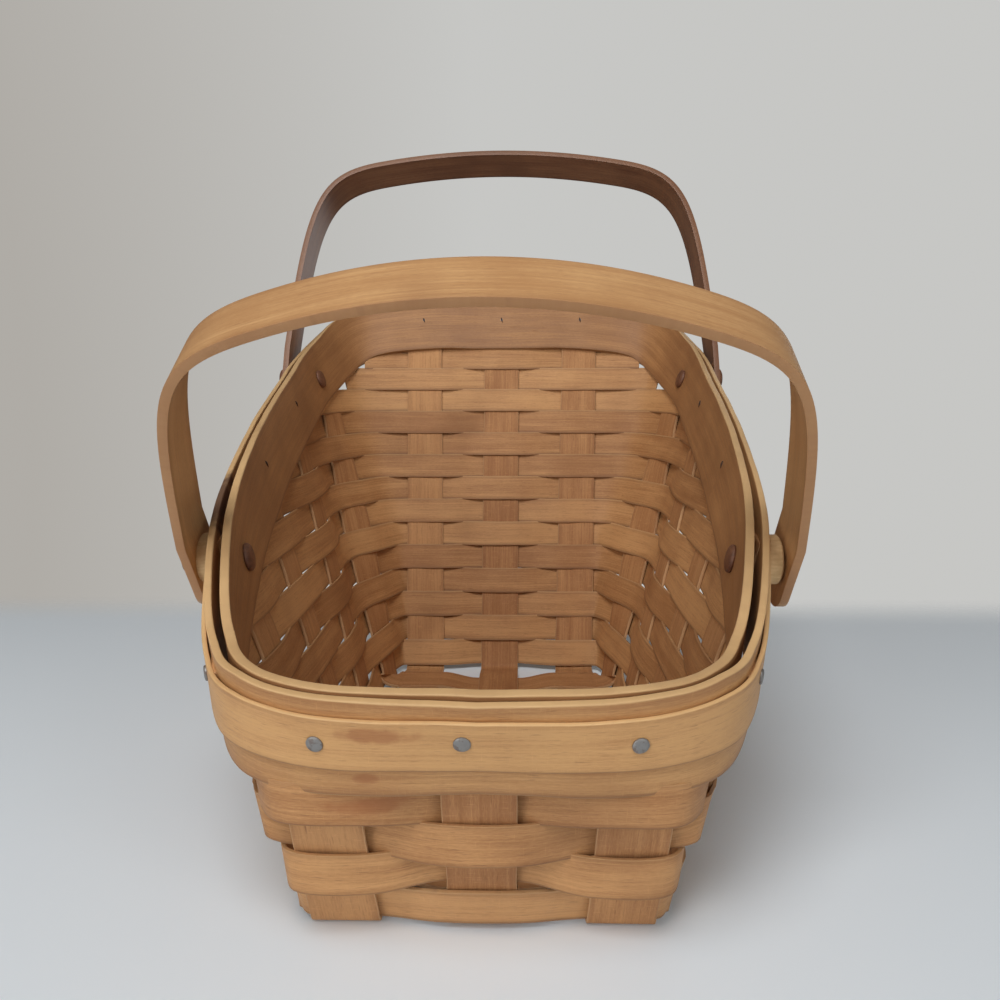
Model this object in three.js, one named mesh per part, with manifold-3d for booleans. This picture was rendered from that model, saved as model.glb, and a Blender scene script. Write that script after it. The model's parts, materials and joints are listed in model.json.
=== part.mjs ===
// A flared splint basket with a low front, a high back, a rim that climbs from one to the other,
// and two bentwood swing handles. Millimetres, +Z up. The origin is on the floor under the middle
// of the base, and the low front end is towards -Y.

import * as THREE from "three";
import { mergeVertices } from "three/addons/utils/BufferGeometryUtils.js";
import Module from "manifold-3d";

const wasm = await Module();
wasm.setup();

const degrees = THREE.MathUtils.degToRad;
const range = (count) => [...Array(count).keys()];
const UP = new THREE.Vector3(0, 0, 1);

// Splints: flat strips that cross in the base and stand up as the uprights of the walls.
const SPLINT_WIDTH = 25.4;
const SPLINT_THICKNESS = 1.6;
const LONG_COUNT = 3; // splints that run from front to back
const LONG_PITCH = 50.8;
const CROSS_COUNT = 5; // splints that run from side to side
const CROSS_PITCH = 52;
const BEND_REACH = 7; // how far each side of a base corner the bend takes

// Base: its margins lie between the outermost splints and the foot of the walls.
const END_MARGIN = 20;
const SIDE_MARGIN = 5.5;
const SIDE_BULGE = 6; // the middle of each long side bows out by this much

// Walls
const END_LEAN = degrees(21.5);
const SIDE_LEAN = degrees(15.75);
const FRONT_CORNER_LEAN = degrees(11.6); // sideways lean of the front corner uprights
const END_FAN = 0.032; // sideways spread of an outer end upright, per unit of height
const SIDE_FAN = 0.38; // spread of the rear corner uprights towards the end, per unit of height
const FRONT_SIDE_FAN = 0.32; // the same for the front ones
const FRONT_CORNER_TURNS = [[0, 0], [60, degrees(16)]]; // height, and how far it faces round there
const REAR_CORNER_TURNS = [[0, 0], [45, degrees(20)], [100, degrees(32)], [168, degrees(14)]];
const CORNER_FULLNESS = 0.56; // 0 cuts a corner straight across, 1 would leave it sharp
const CORNER_RIM_SHARE = 0.75; // how near the rim at a corner is to its height at the end

// Weavers: level rows that pass in front of and behind the uprights by turns.
const WEAVER_WIDTH = 15.2;
const WEAVER_THICKNESS = 1.2;
const FIRST_ROW_HEIGHT = 11.5;
const FIRST_ROW_TUCK = 3.6; // the lowest row stands this much further in, clear of the splints' bends
const FIRST_ROW_EASE = 0.5; // and this much further out where it passes in front of an upright
const ROW_PITCH = 15.5;
const WEAVER_LEAN_SHARE = 0.5; // a straight strip stands steeper than the wall it is woven into
const WEAVER_EDGE_MARGIN = 1.6; // how far past an upright's edge a weaver stays on its own side

// Rim: an inner hoop, an outer hoop and a narrow trim hoop, nailed together through the wall.
const FRONT_HEIGHT = 103;
const BACK_HEIGHT = 252;
const FRONT_CORNER_RISE = 11.7; // from the front's rim up to the rim at the foremost side upright
const REAR_CORNER_DROP = 30.2; // from the back's rim down to the rim at the rearmost one
const RIM_WIDTH = 36;
const OUTER_HOOP_RISE = 4; // how much higher the outer hoop sits than the inner one
const TRIM_RISE = 7;
const INNER_HOOP_THICKNESS = 2.8;
const OUTER_HOOP_THICKNESS = 2.4;
const TRIM_WIDTH = 19;
const TRIM_THICKNESS = 2;
const WALL_SPACE = 5.8; // between the inner and the outer hoop, where the wall is held
const WEAVER_BELOW_RIM = 10.3; // least distance of a weaver's middle below the rim's middle line
const UPRIGHT_PAST_NAIL = 1.7; // an upright reaches this far past the holes of its nails

// Handles
const STRAP_WIDTH = 25.4;
const STRAP_THICKNESS = 5;
const STRAP_CHAMFER = 1.3;
const STRAP_TAIL = 24; // from the pivot to the strap's rounded lower end
const STRAP_STRAIGHT = 18; // straight stretch above the pivot, before a leg draws in
const TAIL_STEPS = [0.05, 0.2, 0.5, 1]; // where the rounded end is shaped, as shares of its radius
const HANDLE_SHOULDER = 58; // how far in from the leg the rounded shoulder reaches
const HANDLE_DRAW = 6; // how far a leg draws in by its shoulder
const HANDLE_ARCH = 11;
const FRONT_HANDLE = { uprightIndex: 1, ahead: 0, reach: 130, lean: degrees(35) };
const REAR_HANDLE = { uprightIndex: 4, ahead: 30, reach: 174, lean: degrees(-25) };

// Pegs that the handles swing on
const PEG_RADIUS = 4;
const PEG_HEAD_RADIUS = 7.5;
const PEG_HEAD_THICKNESS = 3.2;
const CAP_RADIUS = 7;
const CAP_THICKNESS = 3.6;
const SPACER_RADIUS = 10.5;
const SPACER_LENGTH = 6; // at its middle

// Nails
const NAIL_HEAD_RADIUS = 2.8;
const NAIL_HEAD_THICKNESS = 1.1;
const NAIL_SHANK_RADIUS = 1;
const NAIL_TIP = 1.2; // length that stands out of the inner hoop
const FRONT_NAIL_SHIFTS = [3.5, -4.7, -2.3]; // sideways from the middle of each front upright

// Fits
const CLEARANCE = 0.3; // between pieces that lie on each other
const PEG_CLEARANCE = 0.35;
const NAIL_CLEARANCE = 0.3;

// Worked out from the sizes above
const BASE_HALF_WIDTH = ((LONG_COUNT - 1) * LONG_PITCH + SPLINT_WIDTH) / 2 + SIDE_MARGIN;
const BASE_HALF_LENGTH = ((CROSS_COUNT - 1) * CROSS_PITCH + SPLINT_WIDTH) / 2 + END_MARGIN;
const LAYER = SPLINT_THICKNESS + CLEARANCE;
const LONG_LEVEL = SPLINT_THICKNESS / 2 + LAYER; // middle of the long splints in the base
const rimHalfHeight = (lean) => (RIM_WIDTH / 2) * Math.cos(lean);
const FRONT_RIM_MIDDLE = FRONT_HEIGHT - rimHalfHeight(END_LEAN);
const BACK_RIM_MIDDLE = BACK_HEIGHT - rimHalfHeight(END_LEAN);
const SIDE_RIM_START = FRONT_RIM_MIDDLE + FRONT_CORNER_RISE;
const SIDE_RIM_END = BACK_RIM_MIDDLE - REAR_CORNER_DROP;

// Solids and geometry

function solidOf(geometry) {
  const bare = new THREE.BufferGeometry();
  bare.setAttribute("position", geometry.getAttribute("position").clone());
  if (geometry.index) bare.setIndex(geometry.index);
  const merged = mergeVertices(bare, 1e-4);
  return new wasm.Manifold(
    new wasm.Mesh({
      numProp: 3,
      vertProperties: new Float32Array(merged.attributes.position.array),
      triVerts: new Uint32Array(merged.index.array),
    }),
  );
}

function geometryOf(solid) {
  const mesh = solid.getMesh();
  const geometry = new THREE.BufferGeometry();
  geometry.setAttribute("position", new THREE.BufferAttribute(mesh.vertProperties, 3));
  geometry.setIndex(new THREE.BufferAttribute(mesh.triVerts, 1));
  return geometry;
}

// A closed skin over rings of corner points; each ring has as many corners as the next.
function skin(rings, closed) {
  const corners = rings[0].length;
  const positions = rings.flat().flatMap((p) => [p.x, p.y, p.z]);
  const faces = [];
  const spans = closed ? rings.length : rings.length - 1;
  for (let i = 0; i < spans; i++) {
    const here = i * corners;
    const next = ((i + 1) % rings.length) * corners;
    for (let k = 0; k < corners; k++) {
      const m = (k + 1) % corners;
      // Both faces of a strip are split along the same diagonal, so that strips can lie together.
      if (k < corners / 2) faces.push(here + k, here + m, next + m, here + k, next + m, next + k);
      else faces.push(here + k, here + m, next + k, here + m, next + m, next + k);
    }
  }
  if (!closed) {
    const last = (rings.length - 1) * corners;
    for (let k = 1; k < corners - 1; k++) {
      faces.push(0, k + 1, k, last, last + k, last + k + 1);
    }
  }
  return facingOut(positions, faces);
}

function facingOut(positions, faces) {
  const corner = (i) => new THREE.Vector3().fromArray(positions, i * 3);
  let volume = 0;
  for (let i = 0; i < faces.length; i += 3) {
    const [a, b, c] = [corner(faces[i]), corner(faces[i + 1]), corner(faces[i + 2])];
    volume += a.dot(b.cross(c));
  }
  if (volume < 0) faces.reverse();
  const geometry = new THREE.BufferGeometry();
  geometry.setAttribute("position", new THREE.Float32BufferAttribute(positions, 3));
  geometry.setIndex(faces);
  return geometry;
}

// A flat strip along sections, each with its middle, its width direction and its face normal.
// Its columns are the lines that run along it, as distances from the middle.
function strip(sections, columns, thickness, closed = false) {
  const rings = sections.map(({ middle, across, normal }) => {
    const corner = (column, out) =>
      middle.clone().addScaledVector(across, column).addScaledVector(normal, out);
    const back = columns.map((column) => corner(column, -thickness / 2));
    const front = columns.map((column) => corner(column, thickness / 2));
    return [...back, ...front.reverse()];
  });
  return skin(rings, closed);
}

const edges = (...widths) => [...widths.map((w) => -w / 2), ...widths.map((w) => w / 2).reverse()];

// A round piece along an axis, turned from a profile of [radius, distance along the axis] points.
function turned(profile, at, axis, sides) {
  const points = profile.map(([radius, along]) => new THREE.Vector2(radius, along));
  const geometry = new THREE.LatheGeometry(points, sides);
  geometry.applyQuaternion(
    new THREE.Quaternion().setFromUnitVectors(new THREE.Vector3(0, 1, 0), axis),
  );
  geometry.translate(at.x, at.y, at.z);
  return solidOf(geometry);
}

function rod(radius, from, to, sides) {
  const axis = to.clone().sub(from);
  const length = axis.length();
  const profile = [[0, 0], [radius, 0], [radius, length], [0, length]];
  return turned(profile, from, axis.normalize(), sides);
}

// Uprights: each has a foot on the base's outline, a slope away from it, a direction that its face
// looks in, and the height at which the rim's middle line crosses it.

class Upright {
  constructor({ foot, slope, facing, turns = [[0, 0]], rim }) {
    Object.assign(this, { foot, slope, facing, turns, rim });
  }

  at(height) {
    return new THREE.Vector3(
      this.foot.x + this.slope.x * height,
      this.foot.y + this.slope.y * height,
      height,
    );
  }

  // The way the face looks in plan, which turns round the corner with height on a corner upright.
  angleAt(height) {
    const above = this.turns.findIndex(([level]) => level > height);
    const after = this.turns.at(above);
    const before = this.turns[Math.max(above - 1, 0)];
    if (above < 1) return this.facing + after[1];
    const share = (height - before[0]) / (after[0] - before[0]);
    return this.facing + THREE.MathUtils.lerp(before[1], after[1], share);
  }

  outward(height) {
    const angle = this.angleAt(height);
    return new THREE.Vector3(Math.cos(angle), Math.sin(angle), 0);
  }

  // Along the wall, anticlockwise seen from above.
  along(height) {
    return UP.clone().cross(this.outward(height));
  }

  // A point beside the upright: along the wall and out from its middle surface.
  beside(height, along, out) {
    return this.at(height)
      .addScaledVector(this.along(height), along)
      .addScaledVector(this.outward(height), out);
  }

  // How far the face leans out from upright.
  leanAt(height) {
    const out = this.outward(height);
    return Math.atan(this.slope.x * out.x + this.slope.y * out.y);
  }

  // Half the width of the upright on a level line, which is more where it stands askew.
  levelHalf(height) {
    const along = this.along(height);
    const sideways = this.slope.x * along.x + this.slope.y * along.y;
    const skew = Math.atan(sideways * Math.cos(this.leanAt(height)));
    return SPLINT_WIDTH / 2 / Math.cos(skew);
  }

  // The highest place for the middle of a weaver that still goes in under the rim.
  get cut() {
    return this.rim - WEAVER_BELOW_RIM;
  }

  get top() {
    return this.rim + TRIM_RISE + NAIL_SHANK_RADIUS + NAIL_CLEARANCE + UPRIGHT_PAST_NAIL;
  }
}

const longPlace = (i) => (i - (LONG_COUNT - 1) / 2) * LONG_PITCH;
const crossPlace = (i) => (i - (CROSS_COUNT - 1) / 2) * CROSS_PITCH;
const CORNER_PLACE = crossPlace(CROSS_COUNT - 1);

// end is -1 at the front and 1 at the back.
function endUpright(i, end) {
  const x = longPlace(i);
  const fan = x === 0 ? 0 : Math.sign(x) * END_FAN;
  return new Upright({
    foot: new THREE.Vector2(x, end * BASE_HALF_LENGTH),
    slope: new THREE.Vector2(fan, end * Math.tan(END_LEAN)),
    facing: (end * Math.PI) / 2,
    rim: end < 0 ? FRONT_RIM_MIDDLE : BACK_RIM_MIDDLE,
  });
}

// side is -1 on the left and 1 on the right, seen from the front.
function sideUpright(i, side) {
  const y = crossPlace(i);
  const share = y / CORNER_PLACE;
  const frontCorner = share === -1;
  const cornerTurns = { "-1": FRONT_CORNER_TURNS, 1: REAR_CORNER_TURNS }[share] ?? [[0, 0]];
  const rise = i / (CROSS_COUNT - 1);
  const lean = frontCorner ? FRONT_CORNER_LEAN : SIDE_LEAN;
  return new Upright({
    foot: new THREE.Vector2(side * (BASE_HALF_WIDTH + SIDE_BULGE * (1 - share ** 2)), y),
    slope: new THREE.Vector2(side * Math.tan(lean), share * (share < 0 ? FRONT_SIDE_FAN : SIDE_FAN)),
    facing: side > 0 ? 0 : Math.PI,
    turns: cornerTurns.map(([height, turn]) => [height, side * share * turn]),
    rim: THREE.MathUtils.lerp(SIDE_RIM_START, SIDE_RIM_END, rise),
  });
}

const frontUprights = range(LONG_COUNT).map((i) => endUpright(i, -1));
const backUprights = range(LONG_COUNT).map((i) => endUpright(i, 1));
const rightUprights = range(CROSS_COUNT).map((i) => sideUpright(i, 1));
const leftUprights = range(CROSS_COUNT).map((i) => sideUpright(i, -1));

// Round the basket anticlockwise from the middle of the front.
const FRONT_MIDDLE = Math.floor(LONG_COUNT / 2);
const ringUprights = [
  ...frontUprights.slice(FRONT_MIDDLE),
  ...rightUprights,
  ...[...backUprights].reverse(),
  ...[...leftUprights].reverse(),
  ...frontUprights.slice(0, FRONT_MIDDLE),
];

// Splints

// The stretch of a splint that stands in a wall, from the end of its bend to its top.
function wallSections(upright, foot) {
  const turning = upright.turns.slice(1).flatMap(([height], i) => {
    const from = Math.max(upright.turns[i][0], BEND_REACH);
    return range(3).map((step) => THREE.MathUtils.lerp(from, height, (step + 1) / 3));
  });
  const steps = [BEND_REACH, ...turning, upright.top];
  const bend = new THREE.QuadraticBezierCurve3(foot.inner, foot.corner, upright.at(BEND_REACH));
  const low = bend.getPoints(4).slice(0, -1);
  const points = [...low, ...steps.map((h) => upright.at(h))];
  return points.map((middle, i) => {
    const before = points[Math.max(i - 1, 0)];
    const after = points[Math.min(i + 1, points.length - 1)];
    const climb = after.clone().sub(before).normalize();
    const across = upright.along(middle.z);
    const normal = across.clone().cross(climb).normalize();
    return { middle, across: climb.clone().cross(normal), normal };
  });
}

// Base point where a splint starts to bend, and the sharp corner that the bend rounds off.
function footOf(upright, inward, level) {
  const corner = new THREE.Vector3(upright.foot.x, upright.foot.y, level);
  return { corner, inner: corner.clone().addScaledVector(inward, BEND_REACH) };
}

// Sections of one whole splint: down one wall, across the base and up the other wall.
function splint(first, second, level, baseSections) {
  const across = second.at(0).sub(first.at(0)).normalize();
  const down = wallSections(first, footOf(first, across, level(first)));
  const rise = wallSections(second, footOf(second, across.clone().negate(), level(second)));
  const flipped = down.reverse().map(({ middle, across: width, normal }) => ({
    middle,
    across: width.clone().negate(),
    normal,
  }));
  return strip([...flipped, ...baseSections, ...rise], edges(SPLINT_WIDTH), SPLINT_THICKNESS);
}

// A long splint lies among the cross splints and comes down to the floor at both ends.
function longSplint(i) {
  const end = CORNER_PLACE + SPLINT_WIDTH / 2 + WEAVER_EDGE_MARGIN;
  const across = new THREE.Vector3(-1, 0, 0);
  const base = [-end, end].map((y) => ({
    middle: new THREE.Vector3(longPlace(i), y, LONG_LEVEL),
    across,
    normal: new THREE.Vector3(0, -1, 0).cross(across),
  }));
  return splint(frontUprights[i], backUprights[i], () => SPLINT_THICKNESS / 2, base);
}

// A cross splint goes under the long splints and over them by turns.
const goesUnder = (crossIndex, longIndex) =>
  (crossIndex - (CROSS_COUNT - 1) / 2 + longIndex - (LONG_COUNT - 1) / 2) % 2 === 0;

function crossSplint(i) {
  const levelAt = (k) => LONG_LEVEL + (goesUnder(i, k) ? -LAYER : LAYER);
  const half = SPLINT_WIDTH / 2 + WEAVER_EDGE_MARGIN;
  const across = new THREE.Vector3(0, 1, 0);
  const base = range(LONG_COUNT).flatMap((k) =>
    [-half, half].map((step) => ({
      middle: new THREE.Vector3(longPlace(k) + step, crossPlace(i), levelAt(k)),
      across,
      normal: new THREE.Vector3(-1, 0, 0).cross(across),
    })),
  );
  const level = (upright) => levelAt(upright.foot.x < 0 ? 0 : LONG_COUNT - 1);
  return splint(leftUprights[i], rightUprights[i], level, base);
}

// Weavers

const rowHeight = (row) => FIRST_ROW_HEIGHT + row * ROW_PITCH;
const RIM_SLOPE = (SIDE_RIM_END - SIDE_RIM_START) / ((CROSS_COUNT - 1) * CROSS_PITCH);
const underRim = (upright, height) => {
  const below = rimHalfHeight(upright.leanAt(upright.rim)) + RIM_SLOPE * SPLINT_WIDTH;
  return height + WEAVER_WIDTH / 2 > upright.rim - below;
};

// Steps along a strip between one upright and the next: more where it rounds a corner.
const nextPlace = (place, step = 1) => (place + step + ringUprights.length) % ringUprights.length;
const stepsAfter = (place) => {
  const [here, next] = [ringUprights[place], ringUprights[nextPlace(place)]];
  const facesAway = here.outward(here.rim).angleTo(next.outward(next.rim));
  return facesAway < degrees(5) ? 2 : 3;
};

// A weaver lies outside the middle front upright on every other row, and alternates round the ring.
const sideOf = (row, place) => ((row + place) % 2 === 0 ? 1 : -1);

// How far an upright stands out of the plane of a weaver that crosses it, at the weaver's edges.
function splintBulge(upright, height, lean, side) {
  const middle = upright.at(height);
  const outward = upright.outward(height);
  const step = (WEAVER_WIDTH / 2) * Math.cos(lean);
  const corners = [-step, 0, step].flatMap((rise) =>
    [-1, 1].map((end) => {
      const level = height + rise;
      const corner = upright.beside(level, end * upright.levelHalf(level), 0).sub(middle);
      return side * (corner.dot(outward) - rise * Math.tan(lean));
    }),
  );
  return Math.max(...corners);
}

// Two points that hold a weaver on its own side of an upright, one at each edge.
function crossing(row, place) {
  const upright = ringUprights[place];
  const height = rowHeight(row);
  const wallLean = upright.leanAt(height);
  const lean = wallLean * (underRim(upright, height) ? 1 : WEAVER_LEAN_SHARE);
  const side = sideOf(row, place);
  const half = upright.levelHalf(height) + WEAVER_EDGE_MARGIN;
  const splintHalf = SPLINT_THICKNESS / 2 / Math.cos(wallLean);
  const weaverHalf = WEAVER_THICKNESS / 2 / Math.cos(lean);
  const firstRowOff = side < 0 ? FIRST_ROW_TUCK : FIRST_ROW_EASE;
  const tuck = row === 0 ? firstRowOff : 0;
  const standOff = splintHalf + weaverHalf + splintBulge(upright, height, lean, side) + CLEARANCE;
  const out = side * (standOff + tuck);
  return [
    { point: upright.beside(height, -half, out), lean, steps: 1 },
    { point: upright.beside(height, half, out), lean, steps: stepsAfter(place) },
  ];
}

// Where a weaver that meets the rim is cut, between the last upright it passes and the next one.
function cutEnd(row, place, step) {
  const beyond = nextPlace(place, step);
  const last = ringUprights[place];
  const next = ringUprights[beyond];
  const height = rowHeight(row);
  const [near, far] = step > 0 ? [1, 0] : [0, 1];
  const from = crossing(row, place)[near];
  const to = crossing(row, beyond)[far];
  const share = THREE.MathUtils.clamp((last.cut - height) / (last.cut - next.cut), 0.25, 0.75);
  const end = (point) => ({ point, lean: last.leanAt(height), steps: 2 });
  const gap = step > 0 ? place : beyond;
  if (!turnsCorner(gap)) return [end(from.point.clone().lerp(to.point, share))];
  const corner = cornerPoint(gap, () => height);
  if (share <= 0.5) return [end(from.point.clone().lerp(corner, 2 * share))];
  return [end(corner), end(corner.clone().lerp(to.point, 2 * share - 1))];
}

// A point on the rounded corner after an upright, between the edges of its face and the next one's.
function cornerPoint(place, heightAt) {
  const [here, next] = [ringUprights[place], ringUprights[nextPlace(place)]];
  const [from, to] = [heightAt(here), heightAt(next)];
  const start = here.beside(from, here.levelHalf(from), 0);
  const end = next.beside(to, -next.levelHalf(to), 0);
  const heading = here.along(from);
  const leaving = next.along(to);
  const span = end.clone().sub(start);
  const crossed = (a, b) => a.x * b.y - a.y * b.x;
  const reach = crossed(span, leaving) / crossed(heading, leaving);
  const sharp = start.clone().addScaledVector(heading, reach);
  const middle = start.clone().add(end).multiplyScalar(0.5);
  const share = Math.abs(Math.sin(here.facing)) > 0.5 ? 1 - CORNER_RIM_SHARE : CORNER_RIM_SHARE;
  const level = THREE.MathUtils.lerp(from, to, share);
  return middle.lerp(sharp, CORNER_FULLNESS).setZ(level);
}

const turnsCorner = (place) =>
  ringUprights[place].facing !== ringUprights[nextPlace(place)].facing;

// Control points of one weaver: the whole ring, or from cut to cut where the rim is too low for it.
function weaverRoute(row) {
  const height = rowHeight(row);
  const places = range(ringUprights.length);
  const held = places.filter((place) => height < ringUprights[place].cut);
  const past = (place) => {
    const controls = crossing(row, place);
    if (!turnsCorner(place) || !held.includes(nextPlace(place))) return controls;
    const { lean } = controls[1];
    return [...controls, { point: cornerPoint(place, () => height), lean, steps: stepsAfter(place) }];
  };
  const controls = held.flatMap(past);
  if (held.length === places.length) return { closed: true, controls };
  const first = held[0];
  const last = held[held.length - 1];
  return {
    closed: false,
    controls: [...cutEnd(row, first, -1).reverse(), ...controls, ...cutEnd(row, last, 1)],
  };
}

// Points on a smooth curve through control points, with a few steps in each span.
function smoothRoute(controls, closed) {
  const curve = new THREE.CatmullRomCurve3(controls.map((c) => c.point), closed, "centripetal");
  const spans = closed ? controls.length : controls.length - 1;
  const samples = [];
  for (let i = 0; i < spans; i++) {
    const next = controls[(i + 1) % controls.length];
    const { steps } = controls[i];
    for (let s = 0; s < steps; s++) {
      samples.push({
        middle: curve.getPoint((i + s / steps) / spans),
        lean: THREE.MathUtils.lerp(controls[i].lean, next.lean, s / steps),
      });
    }
  }
  if (!closed) samples.push({ middle: curve.getPoint(1), lean: controls[controls.length - 1].lean });
  return samples;
}

// Turns samples of a route into strip sections that lean out with the wall.
function leaningSections(samples, closed) {
  const count = samples.length;
  return samples.map(({ middle, lean }, i) => {
    const before = closed ? samples[(i + count - 1) % count] : samples[Math.max(i - 1, 0)];
    const after = closed ? samples[(i + 1) % count] : samples[Math.min(i + 1, count - 1)];
    const heading = after.middle.clone().sub(before.middle).normalize();
    const outward = heading.clone().cross(UP).normalize();
    const normal = outward.multiplyScalar(Math.cos(lean)).addScaledVector(UP, -Math.sin(lean));
    normal.addScaledVector(heading, -normal.dot(heading)).normalize();
    return { middle, across: normal.clone().cross(heading), normal, heading };
  });
}

function weaver(row) {
  const { closed, controls } = weaverRoute(row);
  const samples = smoothRoute(controls, closed);
  return strip(leaningSections(samples, closed), edges(WEAVER_WIDTH), WEAVER_THICKNESS, closed);
}

const ROW_COUNT = Math.floor((backUprights[0].cut - FIRST_ROW_HEIGHT) / ROW_PITCH) + 1;

// Rim

// The rim's middle line: a smooth hoop through the uprights and round the corners.
const rimControls = ringUprights.flatMap((upright, place) => {
  const lean = upright.leanAt(upright.rim);
  const held = { point: upright.at(upright.rim), lean, steps: turnsCorner(place) ? 3 : 4 };
  if (!turnsCorner(place)) return [held];
  const next = ringUprights[nextPlace(place)];
  const corner = {
    point: cornerPoint(place, ({ rim }) => rim),
    lean: (lean + next.leanAt(next.rim)) / 2,
    steps: 3,
  };
  return [held, corner];
});
const rimSections = leaningSections(smoothRoute(rimControls, true), true);

const moved = (sections, out, rise = 0) =>
  sections.map((s) => ({
    ...s,
    middle: s.middle.clone().addScaledVector(s.normal, out).addScaledVector(s.across, rise),
  }));

const INNER_HOOP_PLACE = -(WALL_SPACE + INNER_HOOP_THICKNESS) / 2;
const OUTER_HOOP_PLACE = (WALL_SPACE + OUTER_HOOP_THICKNESS) / 2;
const TRIM_PLACE = WALL_SPACE / 2 + OUTER_HOOP_THICKNESS + CLEARANCE + TRIM_THICKNESS / 2;
const TRIM_FACE = TRIM_PLACE + TRIM_THICKNESS / 2;
const INNER_FACE = INNER_HOOP_PLACE - INNER_HOOP_THICKNESS / 2;

const hoop = (place, rise, columns, thickness) =>
  strip(moved(rimSections, place, rise), columns, thickness, true);

// The section of the rim that lies nearest to a point.
function rimSectionNear(point) {
  const distance = (section) => section.middle.distanceTo(point);
  return rimSections.reduce((best, s) => (distance(s) < distance(best) ? s : best));
}

// Handles

function handlePath(half, reach) {
  const at = (x, z) => new THREE.Vector3(x, 0, z);
  const flat = half - HANDLE_SHOULDER; // half-length of the gently arched top
  const topEnd = reach - HANDLE_ARCH;
  const drop = (2 * HANDLE_ARCH) / flat; // slope of the top where it meets a shoulder
  const across = HANDLE_SHOULDER * 0.6;
  const leg = (sign) =>
    new THREE.LineCurve3(at(sign * half, -STRAP_TAIL), at(sign * half, STRAP_STRAIGHT));
  const shoulder = (sign) =>
    new THREE.CubicBezierCurve3(
      at(sign * half, STRAP_STRAIGHT),
      at(sign * (half - HANDLE_DRAW), THREE.MathUtils.lerp(STRAP_STRAIGHT, topEnd, 0.8)),
      at(sign * (flat + across), topEnd - drop * across),
      at(sign * flat, topEnd),
    );
  const top = new THREE.QuadraticBezierCurve3(
    at(flat, topEnd),
    at(0, reach + HANDLE_ARCH),
    at(-flat, topEnd),
  );
  const forward = (curve, steps) => curve.getPoints(steps).slice(0, -1);
  const backward = (curve, steps) => curve.getPoints(steps).reverse().slice(0, -1);
  return [
    ...forward(leg(1), 2).slice(1),
    ...forward(shoulder(1), 10),
    ...forward(top, 6),
    ...curveEnd(top),
    ...backward(shoulder(-1), 10).slice(1),
    ...curveEnd(leg(-1)),
    ...backward(leg(-1), 2).slice(1),
  ];
}

const curveEnd = (curve) => [curve.getPoint(1)];

// The strap's cross-section, with its edges eased, narrowed to half the width given.
function strapRing(middle, normal, halfWidth) {
  const half = STRAP_THICKNESS / 2;
  const ease = Math.min(STRAP_CHAMFER, halfWidth / 3);
  const corners = [
    [halfWidth - ease, -half],
    [halfWidth, ease - half],
    [halfWidth, half - ease],
    [halfWidth - ease, half],
    [ease - halfWidth, half],
    [-halfWidth, half - ease],
    [-halfWidth, ease - half],
    [ease - halfWidth, -half],
  ];
  return corners.map(([across, out]) =>
    middle.clone().addScaledVector(normal, out).setY(middle.y + across),
  );
}

function handle(plan) {
  const pivot = pivotOf(plan, 1);
  const half = pivot.strapFace.x + STRAP_THICKNESS / 2;
  const path = handlePath(half, plan.reach);
  const bodyRings = path.map((middle, i) => {
    const before = path[Math.max(i - 1, 0)];
    const after = path[Math.min(i + 1, path.length - 1)];
    const heading = after.clone().sub(before).normalize();
    const normal = new THREE.Vector3(heading.z, 0, -heading.x);
    return strapRing(middle, normal, STRAP_WIDTH / 2);
  });
  const radius = STRAP_WIDTH / 2;
  const tail = (sign) =>
    TAIL_STEPS.map((step) => {
      const middle = new THREE.Vector3(sign * half, 0, step * radius - STRAP_TAIL);
      const halfWidth = radius * Math.sqrt(1 - (1 - step) ** 2);
      return strapRing(middle, new THREE.Vector3(1, 0, 0).multiplyScalar(sign), halfWidth);
    });
  const strap = solidOf(skin([...tail(1), ...bodyRings, ...tail(-1).reverse()], false));
  const bore = PEG_RADIUS + PEG_CLEARANCE;
  const reach = half + STRAP_THICKNESS;
  const hole = rod(bore, new THREE.Vector3(-reach, 0, 0), new THREE.Vector3(reach, 0, 0), 16);
  return { geometry: geometryOf(strap.subtract(hole)), pivot: pivot.middle };
}

// Nails

const nailPlaces = [];
const addNail = (name, upright, shift = 0) => {
  const section = rimSectionNear(upright.at(upright.rim));
  const middle = section.middle.clone().addScaledVector(section.heading, shift);
  nailPlaces.push({ name, section: { ...section, middle } });
};
range(LONG_COUNT).forEach((i) => {
  addNail(`nail_front_${i + 1}`, frontUprights[i], FRONT_NAIL_SHIFTS[i] ?? 0);
  addNail(`nail_back_${i + 1}`, backUprights[i]);
});
const carriesHandle = (i) =>
  [FRONT_HANDLE, REAR_HANDLE].some(({ uprightIndex }) => uprightIndex === i);
range(CROSS_COUNT).forEach((i) => {
  if (carriesHandle(i)) return;
  addNail(`nail_right_${i + 1}`, rightUprights[i]);
  addNail(`nail_left_${i + 1}`, leftUprights[i]);
});

const NAIL_LENGTH = TRIM_FACE + CLEARANCE - INNER_FACE + NAIL_TIP;
const outAt = ({ middle, across, normal }, out) =>
  middle.clone().addScaledVector(across, TRIM_RISE).addScaledVector(normal, out);

function nail({ section }) {
  const base = outAt(section, TRIM_FACE + CLEARANCE);
  const length = NAIL_LENGTH;
  const profile = [
    [0, -length],
    [NAIL_SHANK_RADIUS, -length + NAIL_TIP],
    [NAIL_SHANK_RADIUS, 0],
    [NAIL_HEAD_RADIUS, 0],
    [NAIL_HEAD_RADIUS, NAIL_HEAD_THICKNESS * 0.6],
    [NAIL_HEAD_RADIUS * 0.6, NAIL_HEAD_THICKNESS],
    [0, NAIL_HEAD_THICKNESS],
  ];
  return turned(profile, base, section.normal, 10);
}

// Pegs, spacers and caps

const STACK = TRIM_FACE + CLEARANCE + SPACER_LENGTH + CLEARANCE;

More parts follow.
